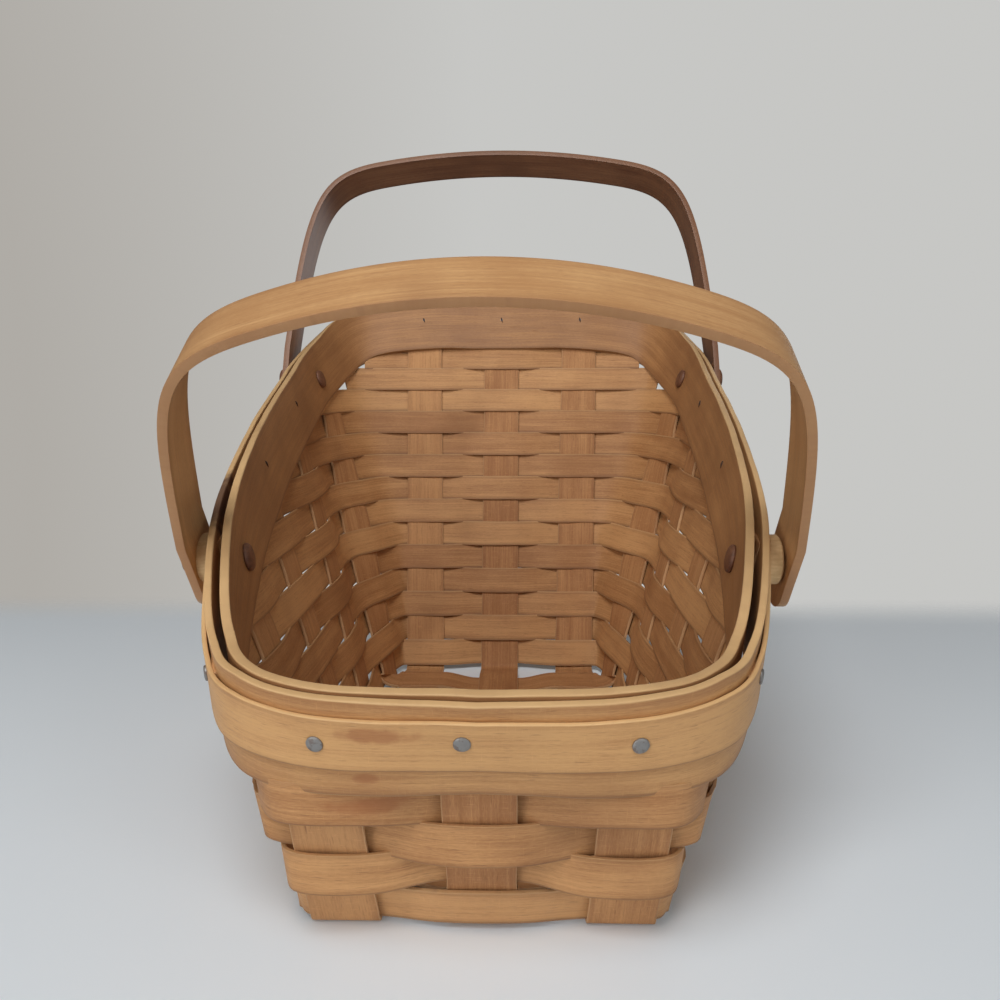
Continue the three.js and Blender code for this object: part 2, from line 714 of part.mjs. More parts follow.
function pivotOf({ uprightIndex, ahead }, side) {
  const wall = (side > 0 ? rightUprights : leftUprights)[uprightIndex];
  const axis = new THREE.Vector3(side, 0, 0);
  const section = rimSectionNear(wall.at(wall.rim).sub(new THREE.Vector3(0, ahead, 0)));
  const tilt = section.normal.dot(axis);
  const { middle } = section;
  return { middle, axis, section, strapFace: middle.clone().addScaledVector(axis, STACK / tilt) };
}

const PEG_SIDES = 16;

function peg({ middle, axis, section, strapFace }) {
  const tilt = section.normal.dot(axis);
  const seat = middle.clone().addScaledVector(axis, INNER_FACE / tilt);
  const head = turned(
    [
      [0, 0],
      [PEG_HEAD_RADIUS, 0],
      [PEG_HEAD_RADIUS, PEG_HEAD_THICKNESS * 0.55],
      [PEG_HEAD_RADIUS * 0.72, PEG_HEAD_THICKNESS],
      [0, PEG_HEAD_THICKNESS],
    ],
    seat.clone().addScaledVector(section.normal, -CLEARANCE),
    section.normal.clone().negate(),
    PEG_SIDES,
  );
  const wall = hoopCutter(section, INNER_HOOP_PLACE, 0, INNER_HOOP_THICKNESS, RIM_WIDTH);
  const seated = head.subtract(wall);
  const inHead = seat.clone().addScaledVector(section.normal, -CLEARANCE - PEG_HEAD_THICKNESS / 2);
  const end = strapFace.clone().addScaledVector(axis, STRAP_THICKNESS + CLEARANCE + CAP_THICKNESS);
  const start = end.clone().setX(inHead.x);
  return seated.add(rod(PEG_RADIUS, start, end, PEG_SIDES));
}

// A short stretch of a hoop, thickened by the clearance, to shape what lies against it.
function hoopCutter(section, place, rise, thickness, width) {
  const count = rimSections.length;
  const middle = rimSections.indexOf(section);
  const near = range(7).map((i) => rimSections[(middle + i - 3 + count) % count]);
  const columns = edges(2 * RIM_WIDTH, width);
  return solidOf(strip(moved(near, place, rise), columns, thickness + 2 * CLEARANCE));
}

function spacer({ middle, axis, section, strapFace }) {
  const outer = strapFace.clone().addScaledVector(axis, -CLEARANCE);
  const block = rod(SPACER_RADIUS, middle, outer, PEG_SIDES * 2);
  const depth = TRIM_FACE + SPACER_RADIUS;
  const wall = hoopCutter(section, TRIM_FACE - depth / 2, TRIM_RISE, depth, TRIM_WIDTH);
  const bore = rod(PEG_RADIUS + PEG_CLEARANCE, middle, strapFace, PEG_SIDES);
  return block.subtract(wall).subtract(bore);
}

function cap({ axis, strapFace }) {
  const seat = strapFace.clone().addScaledVector(axis, STRAP_THICKNESS + CLEARANCE);
  const bore = PEG_RADIUS + PEG_CLEARANCE;
  const profile = [
    [bore, 0],
    [CAP_RADIUS, 0],
    [CAP_RADIUS, CAP_THICKNESS * 0.6],
    [CAP_RADIUS * 0.8, CAP_THICKNESS],
    [bore, CAP_THICKNESS],
    [bore, 0],
  ];
  return turned(profile, seat, axis, PEG_SIDES);
}

// Every nail and peg has its own hole through the hoops and through the splints it meets.
const pivots = [FRONT_HANDLE, REAR_HANDLE].flatMap((plan) => [pivotOf(plan, 1), pivotOf(plan, -1)]);
const holes = [
  ...nailPlaces.map(({ section }) =>
    rod(
      NAIL_SHANK_RADIUS + NAIL_CLEARANCE,
      outAt(section, TRIM_FACE + NAIL_TIP),
      outAt(section, TRIM_FACE - NAIL_LENGTH - NAIL_TIP),
      8,
    ),
  ),
  ...pivots.map(({ middle, axis, strapFace }) =>
    rod(
      PEG_RADIUS + PEG_CLEARANCE,
      middle.clone().addScaledVector(axis, -STACK),
      strapFace.clone().addScaledVector(axis, STRAP_THICKNESS),
      PEG_SIDES,
    ),
  ),
];

function pierced(geometry, cutters = holes) {
  const whole = solidOf(geometry);
  const met = cutters.filter((cutter) => whole.intersect(cutter).volume() > 0);
  if (met.length === 0) return geometry;
  const cut = met.reduce((solid, cutter) => solid.subtract(cutter), whole);
  const pieces = cut.decompose();
  return geometryOf(pieces.reduce((best, piece) => (piece.volume() > best.volume() ? piece : best)));
}

// The wall is pared down where the hoops press on it.
const press = 2 * CLEARANCE;
const hoopFaces = [
  hoop(INNER_HOOP_PLACE, 0, edges(RIM_WIDTH + press), INNER_HOOP_THICKNESS + press),
  hoop(OUTER_HOOP_PLACE, OUTER_HOOP_RISE, edges(RIM_WIDTH + press), OUTER_HOOP_THICKNESS + press),
].map(solidOf);
const inWall = (geometry) => pierced(geometry, [...holes, ...hoopFaces]);

// Assembly

const wood = (color) => () => new THREE.MeshStandardMaterial({ color, roughness: 0.7 });
const splintWood = wood(0xa9793f);
const weaverWood = wood(0xb5854a);
const rimWood = wood(0xc08a45);
const handleWood = wood(0xb87f3c);
const pegWood = wood(0x5c3218);
const spacerWood = wood(0xd2b072);
const steel = () =>
  new THREE.MeshStandardMaterial({ color: 0x8b8a86, roughness: 0.45, metalness: 0.9 });

function mesh(name, geometry, material) {
  const made = new THREE.Mesh(geometry, material());
  made.name = name;
  return made;
}

function group(name, ...children) {
  const made = new THREE.Group();
  made.name = name;
  made.add(...children);
  return made;
}

const pad = (number) => String(number).padStart(2, "0");

const splints = group(
  "splints",
  ...range(LONG_COUNT).map((i) => mesh(`long_splint_${i + 1}`, inWall(longSplint(i)), splintWood)),
  ...range(CROSS_COUNT).map((i) => mesh(`cross_splint_${i + 1}`, inWall(crossSplint(i)), splintWood)),
);
const weave = group(
  "weave",
  ...range(ROW_COUNT).map((row) => mesh(`weaver_${pad(row + 1)}`, inWall(weaver(row)), weaverWood)),
);
const trimColumns = edges(TRIM_WIDTH);
const underTrim = trimColumns.map((column) => column + TRIM_RISE - OUTER_HOOP_RISE);
const outerColumns = [-RIM_WIDTH / 2, ...underTrim, RIM_WIDTH / 2];
const hoops = [
  ["inner_rim_hoop", INNER_HOOP_PLACE, 0, edges(RIM_WIDTH), INNER_HOOP_THICKNESS],
  ["outer_rim_hoop", OUTER_HOOP_PLACE, OUTER_HOOP_RISE, outerColumns, OUTER_HOOP_THICKNESS],
  ["rim_trim", TRIM_PLACE, TRIM_RISE, trimColumns, TRIM_THICKNESS],
];
const rim = group(
  "rim",
  ...hoops.map(([name, ...sizes]) => mesh(name, pierced(hoop(...sizes)), rimWood)),
  ...nailPlaces.map((place) => mesh(place.name, geometryOf(nail(place)), steel)),
);

function handleGroup(name, plan) {
  const { geometry, pivot } = handle(plan);
  const strap = mesh(`${name}_handle`, geometry, handleWood);
  strap.position.set(0, pivot.y, pivot.z);
  strap.rotation.x = plan.lean;
  const fittings = [1, -1].flatMap((side) => {
    const place = pivotOf(plan, side);
    const end = side > 0 ? "right" : "left";
    return [
      mesh(`${name}_peg_${end}`, geometryOf(peg(place)), pegWood),
      mesh(`${name}_spacer_${end}`, geometryOf(spacer(place)), spacerWood),
      mesh(`${name}_cap_${end}`, geometryOf(cap(place)), pegWood),
    ];
  });
  return group(`${name}_handle_group`, strap, ...fittings);
}

const basket = group(
  "sleigh_basket",
  splints,
  weave,
  rim,
  handleGroup("front", FRONT_HANDLE),
  handleGroup("rear", REAR_HANDLE),
);

export default basket;
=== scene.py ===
# A flared splint basket with a low front, a high back, a nailed rim of three hoops and two bentwood
# swing handles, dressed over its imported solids. Metres, +Z up, the low front towards -Y.
import json
import math
from collections import namedtuple

import bpy
from mathutils import Matrix, Vector, noise


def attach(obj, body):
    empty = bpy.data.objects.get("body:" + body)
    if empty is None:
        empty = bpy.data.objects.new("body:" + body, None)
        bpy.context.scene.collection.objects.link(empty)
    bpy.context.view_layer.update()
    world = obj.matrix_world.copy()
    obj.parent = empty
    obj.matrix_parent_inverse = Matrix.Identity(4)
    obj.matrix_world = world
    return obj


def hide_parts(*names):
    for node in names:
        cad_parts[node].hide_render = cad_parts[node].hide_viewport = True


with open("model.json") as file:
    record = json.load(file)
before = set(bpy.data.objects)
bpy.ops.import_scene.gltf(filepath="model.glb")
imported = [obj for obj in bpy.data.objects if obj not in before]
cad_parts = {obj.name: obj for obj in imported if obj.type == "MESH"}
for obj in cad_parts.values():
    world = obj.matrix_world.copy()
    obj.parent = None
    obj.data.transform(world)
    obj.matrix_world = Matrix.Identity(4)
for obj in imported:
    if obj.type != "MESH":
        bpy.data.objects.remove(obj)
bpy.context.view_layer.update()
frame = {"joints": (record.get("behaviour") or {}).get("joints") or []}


# Splints: flat strips of split hardwood that cross in the base and are bent up at its edge to stand
# as the uprights of the walls. Their faces were left as they split, so they are a little fuzzy.

MM = 0.001
UP = Vector((0, 0, 1))
SPLINT_WIDTH = 25.4 * MM
SPLINT_THICKNESS = 1.6 * MM
SPLINT_EASE = 0.3 * MM
SPLINT_WAVE = 0.25 * MM  # how far a weaver pushes an upright aside
SPLINT_WANDER = 0.4 * MM  # how far the edges stray from straight
FIT = 0.3 * MM  # the clearance between pieces that meet
LONG_COUNT = 3
LONG_PITCH = 50.8 * MM
CROSS_COUNT = 5
CROSS_PITCH = 52 * MM
END_BEND = 4 * MM  # where the bend into a wall starts and ends
SIDE_BEND = 7 * MM
END_MARGIN = 20 * MM  # from the outermost splints to the foot of a wall
SIDE_MARGIN = 5.5 * MM
SIDE_BULGE = 6 * MM  # how far the sides of the base bow out in the middle
FLAT_HALF = SPLINT_WIDTH / 2 + 1.6 * MM  # a splint lies flat to here on each side of a crossing
LAYER = SPLINT_THICKNESS + FIT
LONG_LEVEL = SPLINT_THICKNESS / 2 + LAYER
BASE_HALF_WIDTH = ((LONG_COUNT - 1) * LONG_PITCH + SPLINT_WIDTH) / 2 + SIDE_MARGIN
BASE_HALF_LENGTH = ((CROSS_COUNT - 1) * CROSS_PITCH + SPLINT_WIDTH) / 2 + END_MARGIN

END_LEAN = math.radians(21.5)
SIDE_LEAN = math.radians(15.75)
FRONT_CORNER_LEAN = math.radians(16.5)  # the corners belly out below the rim
END_FAN = 0.032  # how far the outermost uprights of a wall spread along it as they rise
SIDE_FAN = 0.38
FRONT_SIDE_FAN = 0.32
# How far the uprights next to a corner have twisted towards it, at heights above the base.
FRONT_END_TURNS = ((50 * MM, 0), (72 * MM, math.radians(10)))
FRONT_CORNER_TURNS = ((0, 0), (60 * MM, math.radians(16)))
REAR_CORNER_TURNS = (
    (0, 0),
    (45 * MM, math.radians(20)),
    (100 * MM, math.radians(32)),
    (168 * MM, math.radians(14)),
)

FRONT_HEIGHT = 103 * MM
BACK_HEIGHT = 252 * MM
RIM_WIDTH = 36 * MM
RIM_HALF_RISE = RIM_WIDTH / 2 * math.cos(END_LEAN)
FRONT_CORNER_RISE = 11.7 * MM  # how far the rim climbs round a front corner and round a rear one
REAR_CORNER_RISE = 30.2 * MM
FRONT_RIM = FRONT_HEIGHT - RIM_HALF_RISE  # heights of the rim's middle line
BACK_RIM = BACK_HEIGHT - RIM_HALF_RISE
SIDE_RIM_START = FRONT_RIM + FRONT_CORNER_RISE
SIDE_RIM_END = BACK_RIM - REAR_CORNER_RISE
WEAVER_BELOW_RIM = 10.3 * MM  # a row that comes nearer to the rim's middle line is cut there
UPRIGHT_PAST_RIM = 11 * MM
FIRST_ROW_HEIGHT = 11.5 * MM
ROW_PITCH = 15.5 * MM
FRONT_SPRING = -2.4 * MM  # how far the rim pulls the outer front uprights back
CORNER_SPRING = -4.4 * MM  # and the first side uprights in
CORNER_RIM_DROP = 5 * MM  # the rim starts to rise only behind those
SPRING_REACH = 36 * MM
BEND_STEPS = 8  # points round the bend into a wall
WALL_STEP = 3.5 * MM  # and the spacing of those above it
RAMP_STEPS = 6  # points where a long splint slopes down to a wall and a cross splint lies flat,
FLAT_STEPS = 24  # where a long splint lies flat,
SPAN_STEPS = 8  # and where a cross splint goes from one crossing to the next


def between(low, high, share):
    return low + (high - low) * share


def limited(value, low=0, high=1):
    return min(max(value, low), high)


def eased(share):
    return share * share * (3 - 2 * share)


def ramp(value, low, high):
    """0 below low, 1 above high, and an eased rise between them."""
    return eased(limited((value - low) / (high - low)))


class Upright:
    """One splint end in a wall: its foot, its slope, the way it faces, and the rim's height there."""

    def __init__(self, foot, slope, facing, rim, turns=((0, 0),), spring=0.0):
        self.foot = foot
        self.slope = slope
        self.facing = facing
        self.rim = rim
        self.turns = turns
        self.spring = spring
        self.cut = rim - WEAVER_BELOW_RIM
        self.top = rim + UPRIGHT_PAST_RIM

    def at(self, height):
        sprung = self.spring * ramp(height, self.rim - SPRING_REACH, self.rim)
        straight = Vector((*(self.foot + self.slope * height), height))
        return straight + Vector((math.cos(self.facing), math.sin(self.facing), 0)) * sprung

    def angle_at(self, height):
        level, turn = self.turns[0]
        for next_level, next_turn in self.turns[1:]:
            if height < next_level:
                share = max(height - level, 0) / (next_level - level)
                return self.facing + between(turn, next_turn, share)
            level, turn = next_level, next_turn
        return self.facing + turn

    def outward(self, height):
        angle = self.angle_at(height)
        return Vector((math.cos(angle), math.sin(angle), 0))

    def along(self, height):
        return UP.cross(self.outward(height))

    def beside(self, height, along, out):
        return self.at(height) + self.along(height) * along + self.outward(height) * out

    def lean_at(self, height):
        return math.atan(self.slope.dot(self.outward(height).xy))

    def level_half(self, height):
        sideways = self.slope.dot(self.along(height).xy)
        skew = math.atan(sideways * math.cos(self.lean_at(height)))
        return SPLINT_WIDTH / 2 / math.cos(skew)


def long_place(i):
    return (i - (LONG_COUNT - 1) / 2) * LONG_PITCH


def cross_place(i):
    return (i - (CROSS_COUNT - 1) / 2) * CROSS_PITCH


def end_upright(i, end):
    x = long_place(i)
    fan = math.copysign(END_FAN, x) if x else 0
    foot = Vector((x, end * BASE_HALF_LENGTH))
    slope = Vector((fan, end * math.tan(END_LEAN)))
    if end > 0 or not x:
        return Upright(foot, slope, end * math.pi / 2, FRONT_RIM if end < 0 else BACK_RIM)
    turned = tuple((height, math.copysign(turn, x)) for height, turn in FRONT_END_TURNS)
    return Upright(foot, slope, end * math.pi / 2, FRONT_RIM, turned, FRONT_SPRING)


def side_upright(i, side):
    y = cross_place(i)
    share = y / cross_place(CROSS_COUNT - 1)
    turns = {-1: FRONT_CORNER_TURNS, 1: REAR_CORNER_TURNS}.get(share, ((0, 0),))
    lean = FRONT_CORNER_LEAN if share == -1 else SIDE_LEAN
    fan = FRONT_SIDE_FAN if share < 0 else SIDE_FAN
    foot = Vector((side * (BASE_HALF_WIDTH + SIDE_BULGE * (1 - share**2)), y))
    slope = Vector((side * math.tan(lean), share * fan))
    rim = between(SIDE_RIM_START, SIDE_RIM_END, i / (CROSS_COUNT - 1))
    if share == -1:
        rim -= CORNER_RIM_DROP
    turned = tuple((height, side * share * turn) for height, turn in turns)
    spring = CORNER_SPRING if share == -1 else 0
    return Upright(foot, slope, 0 if side > 0 else math.pi, rim, turned, spring)


front_uprights = [end_upright(i, -1) for i in range(LONG_COUNT)]
back_uprights = [end_upright(i, 1) for i in range(LONG_COUNT)]
right_uprights = [side_upright(i, 1) for i in range(CROSS_COUNT)]
left_uprights = [side_upright(i, -1) for i in range(CROSS_COUNT)]
uprights = [  # anticlockwise seen from above, from the middle of the front
    *front_uprights[1:],
    *right_uprights,
    *reversed(back_uprights),
    *reversed(left_uprights),
    front_uprights[0],
]


def side_of(row, place):
    """1 where a row passes outside an upright, -1 where it passes inside."""
    return 1 if (row + place) % 2 == 0 else -1


def pushed(upright, height):
    """How far the rows push an upright out of its plane at a height."""
    place = uprights.index(upright)
    row = (height - FIRST_ROW_HEIGHT) / ROW_PITCH
    fade = limited(row) * limited((upright.cut - height) / ROW_PITCH)
    return -side_of(0, place) * math.cos(math.pi * row) * SPLINT_WAVE * fade


def wall_points(upright, inward, level):
    """Middle line of the stretch that bends up from the base and stands in the wall."""
    bend = SIDE_BEND if abs(inward.x) > 0.5 else END_BEND
    corner = Vector((*upright.foot, level))
    inner = corner + inward * bend
    outer = upright.at(bend)
    points = []
    for step in range(BEND_STEPS):
        share = step / BEND_STEPS
        points.append(inner.lerp(corner, share).lerp(corner.lerp(outer, share), share))
    rise = upright.top - bend
    count = round(rise / WALL_STEP)
    for step in range(count + 1):
        height = bend + rise * step / count
        points.append(upright.at(height) + upright.outward(height) * pushed(upright, height))
    return points


def splint_sections(first, second, level_at, base_points):
    """A splint from the top of one wall to the top of the other: middle, across and out at each step."""
    across_base = (second.at(0) - first.at(0)).normalized()
    down = wall_points(first, across_base, level_at(first))
    rise = wall_points(second, -across_base, level_at(second))
    points = [*reversed(down), *base_points, *rise]
    sections = []
    for i, middle in enumerate(points):
        before = points[max(i - 1, 0)]
        after = points[min(i + 1, len(points) - 1)]
        heading = (after - before).normalized()
        if i < len(down):
            across = -first.along(middle.z)
        elif i >= len(points) - len(rise):
            across = second.along(middle.z)
        else:
            across = UP.cross(across_base)
        out = heading.cross(across).normalized()
        sections.append((middle, out.cross(heading), out))
    return sections


def long_sections(i):
    x = long_place(i)
    end = cross_place(CROSS_COUNT - 1) + FLAT_HALF
    foot = BASE_HALF_LENGTH - END_BEND
    low = SPLINT_THICKNESS / 2
    shares = [step / RAMP_STEPS for step in range(RAMP_STEPS)]
    fall = [(between(end, foot, share), between(LONG_LEVEL, low, eased(share))) for share in shares]
    flat = [between(-end, end, step / FLAT_STEPS) for step in range(1, FLAT_STEPS)]
    points = [Vector((x, -y, z)) for y, z in reversed(fall)]
    points += [Vector((x, y, LONG_LEVEL)) for y in flat]
    points += [Vector((x, y, z)) for y, z in fall]
    return splint_sections(front_uprights[i], back_uprights[i], lambda upright: low, points)


def cross_sections(i):
    y = cross_place(i)

    def level_over(k):
        under = (i - (CROSS_COUNT - 1) / 2 + k - (LONG_COUNT - 1) / 2) % 2 == 0
        return LONG_LEVEL + (-LAYER if under else LAYER)

    points = []
    for k in range(LONG_COUNT):
        x = long_place(k)
        for step in range(RAMP_STEPS + 1):
            x_here = between(x - FLAT_HALF, x + FLAT_HALF, step / RAMP_STEPS)
            points.append(Vector((x_here, y, level_over(k))))
        if k + 1 < LONG_COUNT:
            for step in range(1, SPAN_STEPS):
                level = between(level_over(k), level_over(k + 1), eased(step / SPAN_STEPS))
                x_here = between(x + FLAT_HALF, long_place(k + 1) - FLAT_HALF, step / SPAN_STEPS)
                points.append(Vector((x_here, y, level)))
    foot_level = {-1: level_over(0), 1: level_over(LONG_COUNT - 1)}
    return splint_sections(
        left_uprights[i],
        right_uprights[i],
        lambda upright: foot_level[math.copysign(1, upright.foot.x)],
        points,
    )


GOLDEN_SHARE = 0.6180339887  # its multiples spread evenly between whole numbers


def own_share(name, kind):
    """A steady number from 0 to 1 for a piece, so that like pieces differ from each other."""
    mix = sum((place + 3) * ord(letter) for place, letter in enumerate(name + kind))
    return (mix * GOLDEN_SHARE) % 1


STRIP_COLUMNS = (-1, -0.9, -0.5, 0, 0.5, 0.9, 1)  # where a strip is divided across, in half widths
GRAIN_LENGTH = 40  # metres of grain, from which each strip takes its own stretch
WANDER_SCALE = 55  # how quickly an edge strays along a strip
EDGES_APART = 7  # so that the two edges stray by themselves
WELD = 0.01 * MM
SHARP_EDGE = math.radians(50)  # edges that turn more are eased
SMOOTH_EDGE = math.radians(60)  # and those that turn less are shaded smooth


def lay_strip(name, sections, width, thickness, ease, closed=False, wander=0.0, rounding=2):
    """A strip laid along sections as a grid, then given its thickness and its eased edges."""
    steps = len(sections) if closed else len(sections) - 1
    gaps = len(STRIP_COLUMNS) - 1
    bpy.ops.object.select_all(action="DESELECT")
    bpy.ops.mesh.primitive_grid_add(x_subdivisions=steps, y_subdivisions=gaps, size=1, calc_uvs=True)
    piece = bpy.context.object
    piece.name = name
    piece.data.name = name
    runs = [0.0]
    for i in range(steps):
        runs.append(runs[-1] + (sections[(i + 1) % len(sections)][0] - sections[i][0]).length)
    start = own_share(name, "start") * GRAIN_LENGTH
    places = {}
    for vertex in piece.data.vertices:
        i = round((vertex.co.x + 0.5) * steps)
        column = STRIP_COLUMNS[round((vertex.co.y + 0.5) * gaps)]
        middle, across, out = sections[i % len(sections)]
        half = (width[i % len(sections)] if isinstance(width, list) else width) / 2
        spot = middle * WANDER_SCALE + UP * (start + math.copysign(EDGES_APART, column))
        edge = half * column + wander * abs(column) * noise.noise(spot)
        places[vertex.index] = (start + runs[i], half * column)
        vertex.co = middle + across * edge
    lie = piece.data.uv_layers.active.data
    for loop in piece.data.loops:
        lie[loop.index].uv = places[loop.vertex_index]
    if closed:
        bpy.ops.object.mode_set(mode="EDIT")
        bpy.ops.mesh.select_all(action="SELECT")
        bpy.ops.mesh.remove_doubles(threshold=WELD)
        bpy.ops.object.mode_set(mode="OBJECT")
    shell = piece.modifiers.new("thickness", "SOLIDIFY")
    shell.thickness = thickness
    shell.offset = 0
    bpy.ops.object.modifier_apply(modifier=shell.name)
    round_off = piece.modifiers.new("eased edges", "BEVEL")
    round_off.limit_method = "ANGLE"
    round_off.angle_limit = SHARP_EDGE
    round_off.width = ease
    round_off.segments = rounding
    bpy.ops.object.modifier_apply(modifier=round_off.name)
    bpy.ops.object.shade_smooth_by_angle(angle=SMOOTH_EDGE)
    tone = piece.data.attributes.new("tone", "FLOAT", "POINT")
    share = own_share(name, "tone")
    tone.data.foreach_set("value", [share] * len(piece.data.vertices))
    return piece


class Wire:
    """A shader socket that can take part in sums."""

    def __init__(self, finish, socket):
        self.finish = finish
        self.socket = socket

    def __add__(self, other):
        return self.finish.sum("ADD", self, other)

    def __sub__(self, other):
        return self.finish.sum("SUBTRACT", self, other)

    def __mul__(self, other):
        return self.finish.sum("MULTIPLY", self, other)

    def __truediv__(self, other):
        return self.finish.sum("DIVIDE", self, other)

    def __radd__(self, other):
        return self.finish.sum("ADD", other, self)

    def __rsub__(self, other):
        return self.finish.sum("SUBTRACT", other, self)

    def __rmul__(self, other):
        return self.finish.sum("MULTIPLY", other, self)

    def __abs__(self):
        return self.finish.sum("ABSOLUTE", self, 0)

    def swing(self, most):
        """How far a noise departs from its middle value, times most."""
        return (self - 0.5) * most


class Finish:
    """A material whose nodes are added one at a time."""

    def __init__(self, name):
        self.material = bpy.data.materials.new(name)
        self.material.use_nodes = True
        self.tree = self.material.node_tree
        self.shader = self.tree.nodes["Principled BSDF"]

    def put(self, socket, value):
        if isinstance(value, Wire):
            self.tree.links.new(value.socket, socket)
        else:
            socket.default_value = value

    def add(self, kind, settings, sockets, output=0):
        node = self.tree.nodes.new(kind)
        for name, value in settings.items():
            setattr(node, name, value)
        for name, value in sockets.items():
            self.put(node.inputs[name], value)
        return Wire(self, node.outputs[output])

    def sum(self, operation, first, second):
        return self.add("ShaderNodeMath", {"operation": operation}, {0: first, 1: second})

    def noise(self, where, scale, detail=2.0, roughness=0.5):
        sockets = {"Vector": where, "Scale": scale, "Detail": detail, "Roughness": roughness}
        return self.add("ShaderNodeTexNoise", {}, sockets)

    def stretch(self, where, along, across, through):
        settings = {"operation": "MULTIPLY"}
        return self.add("ShaderNodeVectorMath", settings, {0: where, 1: (along, across, through)})

    def blend(self, share, first, second):
        return self.add("ShaderNodeMix", {"data_type": "RGBA"}, {0: share, 6: first, 7: second}, 2)

    def rise(self, value, low, high):
        """0 below low, 1 above high, and a smooth rise between them."""
        settings = {"interpolation_type": "SMOOTHSTEP"}
        return self.add("ShaderNodeMapRange", settings, {0: value, 1: low, 2: high})

    def give(self, **sockets):
        for name, value in sockets.items():
            self.put(self.shader.inputs[name.replace("_", " ")], value)

    def emboss(self, height, strength, depth):
        sockets = {"Height": height, "Strength": strength, "Distance": depth}
        self.give(Normal=self.add("ShaderNodeBump", {}, sockets))


Stain = namedtuple("Stain", "middle size slant tint strength")


def wood(
    name, pale, deep, worn, raw, half_width, fuzz, rough, relief, bare=0.5, foot_shade=0.0, coat=0.0, stains=()
):
    """Split or planed wood: streaks, pores and blotches that run with each strip, and toned edges.

    Pale and deep are its two tones. The third tone is its dirt and also the painted shade along its foot,
    and the fourth is the tone of its edges, on the weavers partly a painted highlight. Fuzz and the two
    shares say how much loose fibre, edge tone and painted shade along the foot it has.
    """
    finish = Finish(name)
    lie = finish.add("ShaderNodeUVMap", {"uv_map": "UVMap"}, {})
    where = finish.add("ShaderNodeTexCoord", {}, {}, "Object")
    tone = finish.add("ShaderNodeAttribute", {"attribute_name": "tone"}, {}, "Fac")
    side = finish.add("ShaderNodeSeparateXYZ", {}, {0: lie}, "Y")
    off_middle = abs(side)  # in metres, as the strips' UV maps are

    def grain(along, across, detail, roughness=0.55):
        """Noise drawn out along the strip; along and across say how fine it is each way."""
        return finish.noise(finish.stretch(lie, along, across, 1), 1, detail, roughness)

    def spread(stain):
        """0 in the middle of a stain and 1 at its edge. It slants along the longer of its level sizes."""
        off = [
            finish.add("ShaderNodeSeparateXYZ", {}, {0: where}, axis) - stain.middle[k]
            for k, axis in enumerate("XYZ")
        ]
        level = off[0] if stain.size.x > stain.size.y else off[1]
        off[2] = off[2] - level * stain.slant
        shares = [off[k] / stain.size[k] for k in range(3)]
        return shares[0] * shares[0] + shares[1] * shares[1] + shares[2] * shares[2]

    bands = grain(along=9, across=190, detail=2)
    streaks = grain(along=26, across=900, detail=4, roughness=0.65)
    flecks = grain(along=420, across=2600, detail=2)
    pores = finish.rise(grain(along=130, across=1900, detail=1), 0.62, 0.74)
    hairs = finish.rise(grain(along=1500, across=150, detail=2), 0.58, 0.75)
    patches = finish.noise(where, scale=42, detail=3)
    soiled = finish.rise(finish.noise(where, scale=16, detail=2), 0.52, 0.78)
    grubby = finish.rise(off_middle, half_width * 0.72, half_width * 0.96)
    # The band along each edge takes the edge tone; on the weavers it is partly a painted highlight.
    edge = finish.rise(off_middle, half_width * 0.955, half_width * 0.99)
    # Painted shade: the lower edge of a strip is darkened, as where it sits over the piece below.
    foot = 1 - finish.rise(side, -half_width * 0.98, -half_width * 0.9)

    shade = bands.swing(1.1) + streaks.swing(1.8) + flecks.swing(0.9)
    shade = shade + patches.swing(0.8) + tone.swing(0.8)
    fuzzed = [min(part * 1.45, 1) for part in pale[:3]] + [1]
    colour = finish.blend(finish.rise(shade, -0.75, 0.75), deep, pale)
    colour = finish.blend(soiled * 0.35 + grubby * 0.2, colour, worn)
    colour = finish.blend(pores * 0.35, colour, worn)
    colour = finish.blend(hairs * fuzz, colour, fuzzed)
    # edge tone, on the weavers partly a painted highlight
    colour = finish.blend(edge * (streaks + 0.5) * bare, colour, raw)
    # painted shade along the lower edge, in the dirt tone
    colour = finish.blend(foot * (bands + 0.5) * foot_shade, colour, worn)
    for stain in stains:
        ragged = finish.noise(where, scale=120, detail=3).swing(2.4)
        cover = 1 - finish.rise(spread(stain) + ragged, 0.2, 1.3)
        colour = finish.blend(cover * stain.strength, colour, stain.tint)

    finish.give(Base_Color=colour, Roughness=rough + streaks.swing(0.3) + soiled * 0.08)
    finish.emboss(streaks * 0.8 + bands * 0.6 - pores * 0.5 + hairs * fuzz, relief, 0.35 * MM)
    finish.give(Specular_IOR_Level=0.35, Coat_Weight=coat, Coat_Roughness=0.35)
    return finish.material


def belong(piece, body, node):
    """Says which body a piece moves with and which solid it stands for."""
    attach(piece, body)
    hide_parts(node)


def set_piece(piece, material, body, node):
    piece.data.materials.clear()
    piece.data.materials.append(material)
    belong(piece, body, node)


splint_wood = wood(
    "splint wood",
    pale=(0.56, 0.29, 0.12, 1),
    deep=(0.35, 0.15, 0.056, 1),
    worn=(0.17, 0.062, 0.026, 1),
    raw=(0.6, 0.38, 0.2, 1),
    half_width=SPLINT_WIDTH / 2,
    fuzz=0.25,
    rough=0.68,
    relief=0.5,
)
splint_plans = [(f"long_splint_{i + 1}", long_sections(i)) for i in range(LONG_COUNT)]
splint_plans += [(f"cross_splint_{i + 1}", cross_sections(i)) for i in range(CROSS_COUNT)]
for node, sections in splint_plans:
    splint = lay_strip(
        f"{node}_strip", sections, SPLINT_WIDTH, SPLINT_THICKNESS, SPLINT_EASE, wander=SPLINT_WANDER
    )
    set_piece(splint, splint_wood, "basket", node)


# Weavers: level rows of thinner, narrower splint that pass in front of and behind the uprights by
# turns. The lower rows go all round; the upper ones run round the back and end under the rim.

